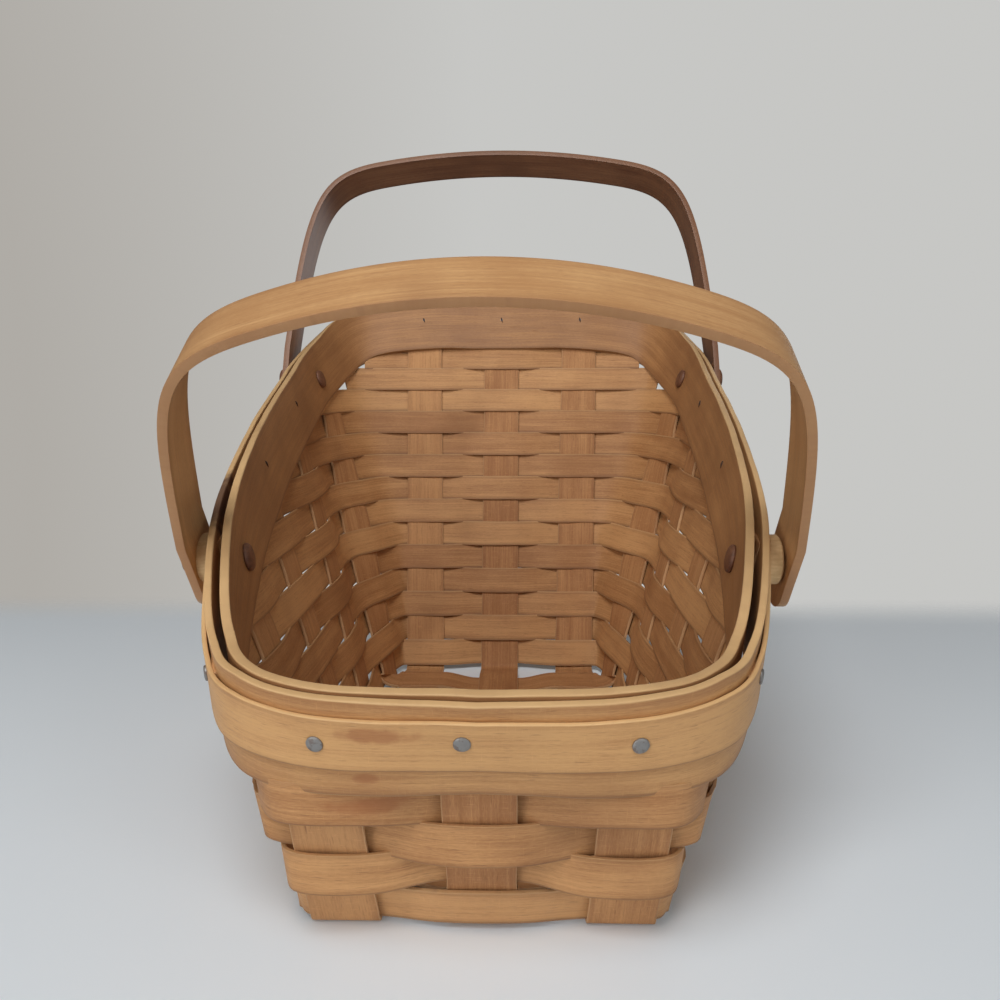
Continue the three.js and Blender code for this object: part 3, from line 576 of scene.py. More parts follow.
WEAVER_WIDTH = 16.2 * MM  # about; each row is as wide as it has to be to lap the next
WEAVER_THICKNESS = 1.2 * MM
WEAVER_EASE = 0.25 * MM
WEAVER_WANDER = 0.2 * MM
FRONT_LEAN_SHARE = 0.35  # the short rows in front stand steeper than their wall, in steps
CORNER_LEAN = math.radians(6)  # and how those lean at the front corners
UNDER_RIM = 16 * MM  # within this of the rim's middle line a row is clamped between the hoops
WEAVER_EDGE_MARGIN = 1.6 * MM  # a row is held this far past each edge of an upright
WEAVER_PRESS = 0.1 * MM  # pressed closer than a solid's clearance, into the upright's wave
FIRST_ROW_TUCK = 1.2 * MM  # the lowest row stands off the bends, inside the uprights and outside
FIRST_ROW_EASE = 0.3 * MM
ROW_LAP = 0.8 * MM  # how far the edges of neighbouring rows lap
ROW_WOBBLE = 0.44 * MM
WOBBLE_SPREAD = (3.7, 5.3)  # from row to row and from upright to upright
FIRST_ROW_DROP = 1 * MM  # behind the front uprights the lowest row sits down on the base
# In front the rows that go all round are spaced wider: how far each is lifted at the middle upright,
# at the outer two and at the corners. The first side uprights get a share of the corners' lift.
MIDDLE_LIFTS = (0, 4 * MM, 1.9 * MM, 1.2 * MM, 4 * MM)
BESIDE_LIFTS = (0, 2.5 * MM, 2 * MM, 5.2 * MM, 6 * MM)
CORNER_LIFTS = (1 * MM, 4 * MM, 7 * MM, 4.2 * MM, 4 * MM)
SIDE_LIFT_SHARE = 0.5
CORNER_RISE = 0.6  # the share of the way up to the corner that a row has made beside the outer two
CORNER_FULLNESS = 0.56  # how much of a sharp corner a row fills; in front it differs from row to row
FRONT_ROW_FULLNESS = (0.3, 0.28, 0.5, 0.28, 0.05)
FRONT_RIM_FULLNESS = 0.07
CORNER_RIM_SHARE = 0.75  # the share of the climb round a corner that lies on its side wall
RING = len(uprights)
ROW_SEAM = 7  # the rows are joined at the right rear corner
ROW_STEPS = 7  # points between one hold on a row and the next
CUT_SHARES = (0.25, 0.75)  # the least and the most of a gap that the end of a row crosses


def row_height(row):
    return FIRST_ROW_HEIGHT + row * ROW_PITCH


def row_height_at(row, place):
    """The height of a row at an upright; only the rows that go all round are lifted in front."""
    if row >= len(MIDDLE_LIFTS) or 2 < place < RING - 2:
        return row_height(row)
    lifts = {0: MIDDLE_LIFTS, 1: BESIDE_LIFTS, RING - 1: BESIDE_LIFTS}
    lift = lifts[place][row] if place in lifts else CORNER_LIFTS[row] * SIDE_LIFT_SHARE
    return row_height(row) + lift


def edge_lift(row, place, end):
    """How much higher a row is at the outer edge of an outer front upright than at its middle."""
    if row >= len(CORNER_LIFTS) or end != {1: 1, RING - 1: -1}.get(place):
        return 0
    return (CORNER_LIFTS[row] - BESIDE_LIFTS[row]) * CORNER_RISE


def splint_bulge(upright, height, lean, side):
    """How far an upright stands out of the plane of a weaver that crosses it."""
    middle = upright.at(height)
    outward = upright.outward(height)
    step = WEAVER_WIDTH / 2 * math.cos(lean)
    most = -1.0
    for rise in (-step, 0, step):
        for end in (-1, 1):
            level = height + rise
            corner = upright.beside(level, end * upright.level_half(level), 0) - middle
            most = max(most, side * (corner.dot(outward) - rise * math.tan(lean)))
    return most


def crossing(row, place):
    """Two points, each with its lean, that hold a weaver on its own side of an upright."""
    upright = uprights[place]
    height = row_height_at(row, place)
    wall_lean = upright.lean_at(height)
    clamped = height > upright.rim - UNDER_RIM
    steps = upright in front_uprights and 0 < row and not clamped
    lean = wall_lean * (FRONT_LEAN_SHARE if steps else 1)
    side = side_of(row, place)
    half = upright.level_half(height) + WEAVER_EDGE_MARGIN
    off = SPLINT_THICKNESS / 2 / math.cos(wall_lean) + WEAVER_THICKNESS / 2 / math.cos(lean)
    off += 0 if clamped else splint_bulge(upright, height, lean, side) - WEAVER_PRESS
    if row == 0:
        off += FIRST_ROW_TUCK if side < 0 else FIRST_ROW_EASE
    spot = Vector((row * WOBBLE_SPREAD[0], place * WOBBLE_SPREAD[1], 0.5))
    lift = noise.noise(spot) * ROW_WOBBLE
    if row == 0 and side < 0 and upright in front_uprights:
        lift -= FIRST_ROW_DROP
    holds = []
    for end in (-1, 1):
        point = upright.beside(height, end * half, side * off)
        holds.append((point + UP * (lift + edge_lift(row, place, end)), lean))
    return holds


def turns_corner(place):
    return uprights[place].facing != uprights[(place + 1) % RING].facing


def corner_point(place, start_height, end_height, front_fullness, square):
    """A point on the rounded corner after an upright, worked out from the sharp corner there."""
    here = uprights[place]
    after = uprights[(place + 1) % RING]
    start = here.beside(start_height, here.level_half(start_height), 0)
    end = after.beside(end_height, -after.level_half(end_height), 0)
    in_front = start.y < 0
    untwisted = square and in_front
    heading = here.along(0 if untwisted else start_height)
    leaving = after.along(0 if untwisted else end_height)
    reach = (end - start).xy.cross(leaving.xy) / heading.xy.cross(leaving.xy)
    sharp = start + heading * reach
    fullness = front_fullness if in_front else CORNER_FULLNESS
    point = ((start + end) / 2).lerp(sharp, fullness)
    on_end = abs(math.sin(here.facing)) > 0.5
    share = 1 - CORNER_RIM_SHARE if on_end else CORNER_RIM_SHARE
    point.z = between(start_height, end_height, share)
    return point


def row_corner(row, place):
    fullness = FRONT_ROW_FULLNESS[min(row, len(FRONT_ROW_FULLNESS) - 1)]
    heights = [row_height_at(row, k % RING) for k in (place, place + 1)]
    corner = corner_point(place, *heights, fullness, True)
    if corner.y < 0 and row < len(CORNER_LIFTS):
        corner.z = row_height(row) + CORNER_LIFTS[row]
    return corner


def cut_end(row, place, step):
    """Where a row that meets the rim is cut, between its last upright and the next one."""
    beyond = (place + step) % RING
    last = uprights[place]
    after = uprights[beyond]
    height = row_height(row)
    near, far = (1, 0) if step > 0 else (0, 1)
    start = crossing(row, place)[near][0]
    end = crossing(row, beyond)[far][0]
    share = limited((last.cut - height) / (last.cut - after.cut), *CUT_SHARES)
    lean = last.lean_at(height)
    gap = place if step > 0 else beyond
    if not turns_corner(gap):
        return [(start.lerp(end, share), lean)]
    corner = row_corner(row, gap)
    if share <= 0.5:
        return [(start.lerp(corner, 2 * share), lean)]
    return [(corner, lean), (corner.lerp(end, 2 * share - 1), lean)]


def row_controls(row):
    """The points and leans that hold a row in its place, and whether it goes all round."""
    height = row_height(row)
    ring = [(ROW_SEAM + k) % RING for k in range(RING)]
    held = [place for place in range(RING) if height < uprights[place].cut]
    closed = len(held) == RING
    controls = []
    for place in ring if closed else held:
        controls += crossing(row, place)
        if turns_corner(place) and (place + 1) % RING in held:
            corner = row_corner(row, place)
            steps = corner.y < 0 and row + 1 < len(CORNER_LIFTS)
            controls.append((corner, CORNER_LEAN if steps else controls[-1][1]))
    if not closed:
        controls = [*reversed(cut_end(row, held[0], -1)), *controls, *cut_end(row, held[-1], 1)]
    return controls, closed


def smooth_route(controls, closed, steps):
    """Points and leans on a smooth curve through the controls."""
    points = [point for point, lean in controls]
    count = len(points)
    spans = count if closed else count - 1
    route = []
    for i in range(spans):
        here, after = points[i], points[(i + 1) % count]
        before = points[i - 1] if closed or i > 0 else here * 2 - after
        beyond = points[(i + 2) % count] if closed or i + 2 < count else after * 2 - here
        first, middle, last = (
            (b - a).length ** 0.5 for a, b in ((before, here), (here, after), (after, beyond))
        )
        leave = (here - before) / first - (after - before) / (first + middle) + (after - here) / middle
        arrive = (after - here) / middle - (beyond - here) / (middle + last) + (beyond - after) / last
        leave, arrive = leave * middle, arrive * middle
        for step in range(steps):
            t = step / steps
            bend = (after - here) * 3 - leave * 2 - arrive
            close = (here - after) * 2 + leave + arrive
            point = here + leave * t + bend * t**2 + close * t**3
            lean = between(controls[i][1], controls[(i + 1) % count][1], t)
            route.append((point, lean))
    if not closed:
        route.append(controls[-1])
    return route


def leaning_sections(route, closed):
    """Middle, across and out at each point of a route, for a strip that leans as the route says."""
    count = len(route)
    sections = []
    for i, (middle, lean) in enumerate(route):
        before = route[i - 1] if closed or i > 0 else route[i]
        after = route[(i + 1) % count] if closed or i + 1 < count else route[i]
        heading = (after[0] - before[0]).normalized()
        out = heading.cross(UP).normalized() * math.cos(lean) - UP * math.sin(lean)
        out = (out - heading * out.dot(heading)).normalized()
        sections.append((middle, out.cross(heading), out))
    return sections


def red_stain(middle, size, slant):
    """A reddish mark in the wood, its place and size in millimetres."""
    return Stain(Vector(middle) * MM, Vector(size) * MM, slant, (0.33, 0.115, 0.04, 1), 0.62)


weaver_wood = wood(
    "weaver wood",
    pale=(0.6, 0.32, 0.132, 1),
    deep=(0.365, 0.163, 0.06, 1),
    worn=(0.16, 0.066, 0.029, 1),
    raw=(0.62, 0.4, 0.2, 1),
    half_width=WEAVER_WIDTH / 2,
    fuzz=0.1,
    rough=0.6,
    relief=0.4,
    # The weavers' edges are paled partly as a painted highlight.
    bare=0.25,
    # Each row's lower edge is darkened as painted shade.
    foot_shade=0.45,
    stains=[red_stain((-36, -165, 62), (15, 30, 3.5), 0.06)],
)
ROW_COUNT = math.floor((back_uprights[0].cut - FIRST_ROW_HEIGHT) / ROW_PITCH) + 1
for row in range(ROW_COUNT):
    controls, closed = row_controls(row)
    route = smooth_route(controls, closed, ROW_STEPS)
    sections = leaning_sections(route, closed)
    widths = [ROW_PITCH / math.cos(lean) + ROW_LAP for point, lean in route]
    node = f"weaver_{row + 1:02d}"
    weaver = lay_strip(
        f"{node}_strip", sections, widths, WEAVER_THICKNESS, WEAVER_EASE, closed, WEAVER_WANDER
    )
    set_piece(weaver, weaver_wood, "basket", node)


# Rim: an inner hoop, an outer hoop and a narrow trim hoop of planed wood, bent round the top of the
# walls and nailed together through them. At the two ends the nails pull the hoops close together.

INNER_HOOP_THICKNESS = 3.6 * MM
OUTER_HOOP_THICKNESS = 2.8 * MM
TRIM_THICKNESS = 1.8 * MM
HOOP_EASE = 0.5 * MM
HOOP_WANDER = 0.4 * MM
HOOP_STEPS = 12  # points from one upright or corner to the next
WALL_SPACE = 5.8 * MM  # between the two hoops where they are loosest
INNER_HOOP_EDGES = (19.3 * MM, -18 * MM)  # top and foot, measured across from the rim's middle line
OUTER_HOOP_EDGES = (18.4 * MM, -18.6 * MM)
TRIM_EDGES = (12.6 * MM, -6.9 * MM)
END_SPACE = 1.0 * MM  # what is left between the hoops at the ends and along the sides
SIDE_SPACE = 2.6 * MM
END_TURN = (0.25, 0.85)  # that changes round the corners, by how squarely the rim faces an end
PEG_SPACE = 0.9 * MM  # how much more there is beside the front pegs
PEG_PLACE = -70 * MM
PEG_REACH = 80 * MM
TRIM_SPRING = 0.5 * MM  # how far the trim springs off the outer hoop at the front corners,
SPRING_AHEAD = (100 * MM, 140 * MM)  # from where to where towards the front
SPRING_TURN = (0.63, 0.93)  # and by how squarely the rim faces an end
HOOP_GAP = 0.15 * MM
RIM_SEAM = 4  # the hoops are joined on the right side

FRONT_STEEPER = (0.92, 0.55, 0.25, 0.85)  # shares of the wall's lean, from the middle of the front
FRONT_CORNER_RIM_LEAN = math.radians(5.5)


def rim_lean(place):
    upright = uprights[place % RING]
    from_front = min(place % RING, -place % RING)
    share = FRONT_STEEPER[from_front] if from_front < len(FRONT_STEEPER) else 1
    return upright.lean_at(upright.rim) * share


rim_controls = []
for k in range(RING):
    place = (RIM_SEAM + k) % RING
    upright = uprights[place]
    rim_controls.append((upright.at(upright.rim), rim_lean(place)))
    if turns_corner(place):
        after = uprights[(place + 1) % RING]
        corner_lean = (rim_lean(place) + rim_lean(place + 1)) / 2
        if upright.foot.y < 0:
            corner_lean = FRONT_CORNER_RIM_LEAN
        corner = corner_point(place, upright.rim, after.rim, FRONT_RIM_FULLNESS, False)
        rim_controls.append((corner, corner_lean))
rim_sections = leaning_sections(smooth_route(rim_controls, True, HOOP_STEPS), True)


def drawn_in(section, hoop):
    """How far a hoop is drawn in from its loosest place, at a section of the rim."""
    middle, across, normal = section
    at_end = ramp(abs(normal.y), *END_TURN)
    by_peg = 1 - ramp(abs(middle.y - PEG_PLACE), 0, PEG_REACH)
    space = between(SIDE_SPACE + PEG_SPACE * by_peg, END_SPACE, at_end)
    drawn = (WALL_SPACE - space) / 2
    if hoop == "trim":
        in_front = ramp(-middle.y, *SPRING_AHEAD)
        at_corner = 1 - ramp(abs(normal.y), *SPRING_TURN)
        drawn -= TRIM_SPRING * in_front * at_corner
    return drawn


def on_rim(section, out, rise, hoop):
    """A point on the rim, out from its middle line and up it, as far as its hoop is drawn in there."""
    middle, across, normal = section
    inward = -1 if hoop == "inner" else 1
    return middle + across * rise + normal * (out - inward * drawn_in(section, hoop))


INNER_PLACE = -(WALL_SPACE + INNER_HOOP_THICKNESS) / 2
OUTER_PLACE = (WALL_SPACE + OUTER_HOOP_THICKNESS) / 2
TRIM_PLACE = WALL_SPACE / 2 + OUTER_HOOP_THICKNESS + HOOP_GAP + TRIM_THICKNESS / 2
TRIM_FACE = TRIM_PLACE + TRIM_THICKNESS / 2
INNER_FACE = INNER_PLACE - INNER_HOOP_THICKNESS / 2
RIM_TONES = ((0.62, 0.345, 0.14, 1), (0.42, 0.2, 0.075, 1))  # pale and deep
INNER_RIM_TONES = ((0.48, 0.24, 0.092, 1), (0.3, 0.135, 0.051, 1))  # its face was handled more
SCORCH_TINT = (0.07, 0.026, 0.018, 1)
SCORCH = Stain(Vector((-117, -60, 148)) * MM, Vector((14, 25, 12)) * MM, 0.37, SCORCH_TINT, 0.88)
HOOP_STAIN = red_stain((-35, -165, 76), (5, 30, 2.5), 0.3)
TRIM_STAIN = red_stain((-31, -175, 92.5), (13, 30, 3), 0.2)


def bend_hoop(node, finish, hoop, out, thickness, edges, tones, stains=()):
    """A hoop with its place out from the rim's middle line, and its edges up and down from it."""
    top, foot = edges
    width = top - foot
    rise = top - width / 2
    sections = [(on_rim(section, out, rise, hoop), *section[1:]) for section in rim_sections]
    strip = lay_strip(
        f"{node}_strip", sections, width, thickness, HOOP_EASE, True, HOOP_WANDER, rounding=3
    )
    material = wood(
        finish,
        *tones,
        worn=(0.2, 0.085, 0.035, 1),
        raw=(0.7, 0.46, 0.22, 1),
        half_width=width / 2,
        fuzz=0.08,
        rough=0.55,
        relief=0.35,
        bare=0.7,
        # Each hoop's lower edge is darkened as painted shade.
        foot_shade=0.65,
        coat=0.05,
        stains=stains,
    )
    set_piece(strip, material, "basket", node)


inner_plan = (INNER_PLACE, INNER_HOOP_THICKNESS, INNER_HOOP_EDGES, INNER_RIM_TONES)
outer_plan = (OUTER_PLACE, OUTER_HOOP_THICKNESS, OUTER_HOOP_EDGES, RIM_TONES)
trim_plan = (TRIM_PLACE, TRIM_THICKNESS, TRIM_EDGES, RIM_TONES)
bend_hoop("inner_rim_hoop", "inner hoop wood", "inner", *inner_plan)
bend_hoop("outer_rim_hoop", "outer hoop wood", "outer", *outer_plan, [HOOP_STAIN, SCORCH])
bend_hoop("rim_trim", "trim wood", "trim", *trim_plan, [TRIM_STAIN])


# Nails: small dull steel nails with flat heads, driven through all three hoops from outside. Their
# points show in the inner hoop, where they were hammered over.

NAIL_HEAD_RADIUS = 2.8 * MM
NAIL_HEAD_THICKNESS = 1.0 * MM
NAIL_SHANK_RADIUS = 1.0 * MM
NAIL_LENGTH = 13 * MM  # of the model; each copy is drawn out to what it goes through
NAIL_POINT = 2.4 * MM
NAIL_POINT_WAY = Vector((0.25, 1, 0))  # which way the hammer bent it
NAIL_RISE = 5.2 * MM  # above the rim's middle line
FRONT_NAIL_RISES = (3 * MM, NAIL_RISE, 3.4 * MM)
FRONT_NAIL_SHIFTS = (3.5 * MM, -4.7 * MM, -2.3 * MM)
NAILED_SIDE_UPRIGHTS = (0, 2, 3)
TURNED_EDGE = math.radians(40)


def turned_piece(name, profile, sides):
    """A round piece along +Z, drawn up ring by ring from (radius, height) steps."""
    bpy.ops.object.select_all(action="DESELECT")
    radius, height = profile[0]
    bpy.ops.mesh.primitive_circle_add(vertices=sides, radius=radius, fill_type="NGON", calc_uvs=True)
    piece = bpy.context.object
    piece.name = name
    piece.data.name = name
    bpy.ops.object.mode_set(mode="EDIT")
    bpy.ops.mesh.select_all(action="SELECT")
    bpy.ops.transform.translate(value=(0, 0, height))
    for next_radius, next_height in profile[1:]:
        rise = {"value": (0, 0, next_height - height)}
        bpy.ops.mesh.extrude_region_move(TRANSFORM_OT_translate=rise)
        spread = next_radius / radius
        bpy.ops.transform.resize(value=(spread, spread, 1), center_override=(0, 0, next_height))
        radius, height = next_radius, next_height
    bpy.ops.mesh.select_all(action="SELECT")
    bpy.ops.mesh.normals_make_consistent(inside=False)
    bpy.ops.object.mode_set(mode="OBJECT")
    bpy.ops.object.shade_smooth_by_angle(angle=TURNED_EDGE)
    return piece


def copy_of(model, name):
    piece = model.copy()
    piece.data = model.data.copy()
    piece.name = name
    piece.data.name = name
    bpy.context.collection.objects.link(piece)
    return piece


def draw_out(piece, length, new_length):
    """Makes a copy longer or shorter than its model, by moving all that lies past its middle."""
    for vertex in piece.data.vertices:
        if vertex.co.z / length > 0.5:
            vertex.co.z += new_length - length


def put(piece, at, turn):
    """Turns a piece and moves it, all in its mesh."""
    piece.data.transform(Matrix.Translation(at) @ turn.to_4x4())
    piece.data.update()


def stand(piece, at, axis):
    """Puts a piece with its +Z along an axis."""
    put(piece, at, UP.rotation_difference(axis).to_matrix())


def join(piece, other):
    bpy.ops.object.select_all(action="DESELECT")
    other.select_set(True)
    piece.select_set(True)
    bpy.context.view_layer.objects.active = piece
    bpy.ops.object.join()


def rim_section_near(point):
    return min(rim_sections, key=lambda section: (section[0] - point).length)


def dull_steel():
    finish = Finish("nail steel")
    where = finish.add("ShaderNodeTexCoord", {}, {}, "Object")
    specks = finish.noise(where, 900, 3)
    rust = finish.rise(finish.noise(where, 420), 0.52, 0.66)
    colour = finish.blend(rust * 0.6, (0.3, 0.29, 0.28, 1), (0.12, 0.065, 0.04, 1))
    finish.give(Base_Color=colour, Roughness=0.38 + specks * 0.3, Metallic=0.9 - rust * 0.6)
    finish.emboss(specks, 0.3, 0.15 * MM)
    return finish.material


def rusted_iron():
    finish = Finish("rusted nail point")
    where = finish.add("ShaderNodeTexCoord", {}, {}, "Object")
    specks = finish.noise(where, 1200, 2)
    colour = finish.blend(specks, (0.02, 0.012, 0.009, 1), (0.09, 0.045, 0.028, 1))
    finish.give(Base_Color=colour, Roughness=0.55 + specks * 0.3)
    return finish.material


nail_model = turned_piece(
    "nail_model",
    [
        (NAIL_SHANK_RADIUS * 0.9, -NAIL_LENGTH),
        (NAIL_SHANK_RADIUS, 0.5 * MM - NAIL_LENGTH),
        (NAIL_SHANK_RADIUS, -0.3 * MM),
        (NAIL_HEAD_RADIUS, 0),
        (NAIL_HEAD_RADIUS, NAIL_HEAD_THICKNESS * 0.45),
        (NAIL_HEAD_RADIUS * 0.9, NAIL_HEAD_THICKNESS * 0.75),
        (NAIL_HEAD_RADIUS * 0.55, NAIL_HEAD_THICKNESS * 0.95),
        (NAIL_HEAD_RADIUS * 0.1, NAIL_HEAD_THICKNESS),
    ],
    24,
)
nail_point = turned_piece(
    "nail_point",
    [
        (0.1 * MM, -NAIL_POINT),
        (0.35 * MM, -NAIL_POINT * 0.6),
        (0.6 * MM, 0),
        (0.5 * MM, NAIL_POINT * 0.4),
        (0.12 * MM, NAIL_POINT * 0.75),
    ],
    10,
)
stand(nail_point, UP * (-NAIL_LENGTH - 0.1 * MM), NAIL_POINT_WAY.normalized())
nail_finishes = (dull_steel(), rusted_iron())
for piece in (nail_model, nail_point):
    for finish in nail_finishes:
        piece.data.materials.append(finish)
for face in nail_point.data.polygons:
    face.material_index = 1
join(nail_model, nail_point)

nail_places = {}
for i in range(LONG_COUNT):
    front = (front_uprights[i], FRONT_NAIL_SHIFTS[i], FRONT_NAIL_RISES[i])
    nail_places[f"nail_front_{i + 1}"] = front
    nail_places[f"nail_back_{i + 1}"] = (back_uprights[i], 0, NAIL_RISE)
for i in NAILED_SIDE_UPRIGHTS:
    nail_places[f"nail_right_{i + 1}"] = (right_uprights[i], 0, NAIL_RISE)
    nail_places[f"nail_left_{i + 1}"] = (left_uprights[i], 0, NAIL_RISE)
for node, (upright, shift, rise) in nail_places.items():
    section = rim_section_near(upright.at(upright.rim) + upright.along(upright.rim) * shift)
    middle, across, normal = section
    seat = on_rim(section, TRIM_FACE, rise, "trim")
    far = on_rim(section, INNER_FACE, rise, "inner")
    nail = copy_of(nail_model, f"{node}_steel")
    draw_out(nail, -NAIL_LENGTH, -(seat - far).length)
    put(nail, seat, Matrix((across.cross(normal), across, normal)).transposed())
    belong(nail, "basket", node)
bpy.data.objects.remove(nail_model)


# Handles: two straps of clear-grained hardwood, planed, steamed and bent to a bail, with rounded
# ends. Each turns on a pair of wooden pegs, outside the rim.

STRAP_WIDTH = 25.4 * MM
STRAP_THICKNESS = 3.6 * MM
STRAP_EASE = 1.1 * MM
STRAP_TAIL = 24 * MM  # how far a strap goes below its peg
STRAP_STRAIGHT = 18 * MM  # and above it before it bends
HANDLE_SHOULDER = 57 * MM
HANDLE_PULL = 0.76  # how far the shoulder's curve follows the top, and the leg
HANDLE_RISE = 0.8
END_STEPS = 12
STRAIGHT_STEPS = 8
SHOULDER_STEPS = 32
TOP_STEPS = 32
SPACER_LENGTH = 6.6 * MM
PEG_RADIUS = 4 * MM
RIM_HALF_STACK = 6 * MM  # half of the hoops and the wall between them, at a peg
STACK = RIM_HALF_STACK + FIT + SPACER_LENGTH + FIT  # from the rim's middle to the strap's inner face
RIM_REACH = 1.6 * BASE_HALF_WIDTH  # about how far out the rim is at the pegs

Pivot = namedtuple("Pivot", "at axis section face")


def pivot_of(handle, side):
    """Where a peg goes through the rim, its axis, the rim there, and the strap's inner face."""
    joint = next(joint for joint in frame["joints"] if joint["child"] == handle)
    turn = Vector(joint["pos_m"])
    axis = Vector((side, 0, 0))
    section = rim_section_near(turn + axis * RIM_REACH)
    at = Vector((section[0].x, turn.y, turn.z))
    return Pivot(at, axis, section, at + axis * STACK / section[2].dot(axis))


def curve_point(points, share):
    """A point on a Bezier curve through any number of handles."""
    while len(points) > 1:
        points = [a.lerp(b, share) for a, b in zip(points, points[1:])]
    return points[0]


def handle_route(half, reach, draw, arch):
    """Middle line of a strap, from the right tail over the top to the left tail, and its widths."""
    flat = half - HANDLE_SHOULDER
    top_end = reach - arch
    drop = 2 * arch / flat
    across = HANDLE_SHOULDER * HANDLE_PULL
    radius = STRAP_WIDTH / 2
    shoulder = [
        Vector((half, 0, STRAP_STRAIGHT)),
        Vector((half - draw, 0, between(STRAP_STRAIGHT, top_end, HANDLE_RISE))),
        Vector((flat + across, 0, top_end - drop * across)),
        Vector((flat, 0, top_end)),
    ]
    top = [Vector((flat, 0, top_end)), Vector((0, 0, reach + arch)), Vector((-flat, 0, top_end))]
    points = []
    widths = []
    for step in range(1, END_STEPS + 1):
        angle = math.radians(90) * step / END_STEPS
        points.append(Vector((half, 0, radius * (1 - math.cos(angle)) - STRAP_TAIL)))
        widths.append(STRAP_WIDTH * math.sin(angle))
    for step in range(1, STRAIGHT_STEPS):
        height = between(radius - STRAP_TAIL, STRAP_STRAIGHT, step / STRAIGHT_STEPS)
        points.append(Vector((half, 0, height)))
    points += [curve_point(shoulder, step / SHOULDER_STEPS) for step in range(SHOULDER_STEPS)]
    points += [curve_point(top, step / TOP_STEPS) for step in range(TOP_STEPS // 2)]
    widths += [STRAP_WIDTH] * (len(points) - len(widths))
    crown = curve_point(top, 0.5)
    points = [*points, crown, *(Vector((-p.x, 0, p.z)) for p in reversed(points))]
    return points, [*widths, STRAP_WIDTH, *reversed(widths)]


def handle_sections(points):
    across = Vector((0, 1, 0))
    sections = []
    for i, middle in enumerate(points):
        before = points[max(i - 1, 0)]
        after = points[min(i + 1, len(points) - 1)]
        heading = (after - before).normalized()
        sections.append((middle, across, heading.cross(across)))
    return sections


def bend_handle(node, shape, lean, aside, **tones):
    """A handle with its reach, how far its legs draw in, its arch, its lean and its finish."""
    pivot = pivot_of(node, 1)
    half = pivot.face.x + STRAP_THICKNESS / 2
    points, widths = handle_route(half, *shape)
    strap = lay_strip(
        f"{node}_strap", handle_sections(points), widths, STRAP_THICKNESS, STRAP_EASE, rounding=4
    )
    bpy.ops.mesh.primitive_cylinder_add(
        vertices=32, radius=PEG_RADIUS + FIT, depth=4 * half, rotation=(0, math.radians(90), 0)
    )
    drill = bpy.context.object
    bpy.context.view_layer.objects.active = strap
    bore = strap.modifiers.new("peg hole", "BOOLEAN")
    bore.object = drill
    bore.operation = "DIFFERENCE"
    bore.solver = "EXACT"
    bpy.ops.object.modifier_apply(modifier=bore.name)
    bpy.data.objects.remove(drill)
    put(strap, Vector((aside, pivot.at.y, pivot.at.z)), Matrix.Rotation(lean, 3, "X"))
    material = wood(
        node.replace("_", " ") + " wood",
        half_width=STRAP_WIDTH / 2,
        fuzz=0.0,
        rough=0.42,
        relief=0.2,
        coat=0.15,
        **tones,
    )
    set_piece(strap, material, node, node)


bend_handle(
    "front_handle",
    shape=(131 * MM, 11 * MM, 10.2 * MM),
    lean=math.radians(35.3),
    aside=0.9 * MM,
    pale=(0.66, 0.39, 0.175, 1),
    deep=(0.46, 0.235, 0.095, 1),
    worn=(0.24, 0.1, 0.042, 1),
    raw=(0.42, 0.2, 0.085, 1),
)
bend_handle(
    "rear_handle",
    shape=(171.5 * MM, 7 * MM, 9 * MM),
    lean=math.radians(-24.2),
    aside=0.3 * MM,
    pale=(0.36, 0.175, 0.085, 1),
    deep=(0.19, 0.08, 0.038, 1),
    worn=(0.09, 0.036, 0.02, 1),
    raw=(0.2, 0.09, 0.045, 1),
)


# Pegs: turned hardwood pegs with mushroom heads inside the rim. Each goes through the hoops, a pale
# spacer block and the handle's strap, and is held outside by a glued cap.

PEG_HEAD_RADIUS = 6.2 * MM
PEG_HEAD_THICKNESS = 2.8 * MM
SPACER_RADIUS = 10.5 * MM
CAP_RADIUS = 7 * MM
CAP_THICKNESS = 3.6 * MM
PIN_LENGTH = 25 * MM  # of the models; each copy is drawn out to what it goes through
BLOCK_LENGTH = 8 * MM
BLOCK_BEVEL = 0.8 * MM


def turned_wood(name, pale, deep, scale, rough, coat):
    """Wood of a small turned piece, with its grain across the basket, as the peg lies."""
    finish = Finish(name)
    where = finish.add("ShaderNodeTexCoord", {}, {}, "Object")
    grain = finish.noise(finish.stretch(where, 0.25, 1, 1), scale, 4, 0.65)
    patches = finish.noise(where, 160, 2)
    shade = finish.rise(grain.swing(1.6) + patches.swing(1), -0.6, 0.6)
    finish.give(Base_Color=finish.blend(shade, deep, pale), Roughness=rough + grain.swing(0.3))
    finish.emboss(grain, 0.3, 0.3 * MM)
    finish.give(Coat_Weight=coat, Coat_Roughness=0.3)
    return finish.material


peg_wood = turned_wood("peg wood", (0.24, 0.1, 0.047, 1), (0.105, 0.04, 0.021, 1), 700, 0.6, 0.03)
spacer_wood = turned_wood("spacer wood", (0.76, 0.54, 0.28, 1), (0.56, 0.35, 0.155, 1), 900, 0.65, 0.0)
head_model = turned_piece(
    "peg_head_model",
    [
        (PEG_RADIUS, -1.2 * MM),
        (PEG_HEAD_RADIUS * 0.94, 0),
        (PEG_HEAD_RADIUS, PEG_HEAD_THICKNESS * 0.25),
        (PEG_HEAD_RADIUS * 0.97, PEG_HEAD_THICKNESS * 0.5),
        (PEG_HEAD_RADIUS * 0.86, PEG_HEAD_THICKNESS * 0.75),
        (PEG_HEAD_RADIUS * 0.62, PEG_HEAD_THICKNESS * 0.92),
        (PEG_HEAD_RADIUS * 0.3, PEG_HEAD_THICKNESS),
        (PEG_HEAD_RADIUS * 0.06, PEG_HEAD_THICKNESS * 1.01),
    ],
    32,
)
pin_model = turned_piece(
    "peg_pin_model",
    [
        (PEG_RADIUS * 0.9, -1 * MM),
        (PEG_RADIUS, 0),
        (PEG_RADIUS, PIN_LENGTH - 0.6 * MM),
        (PEG_RADIUS * 0.8, PIN_LENGTH),
    ],
    24,
)
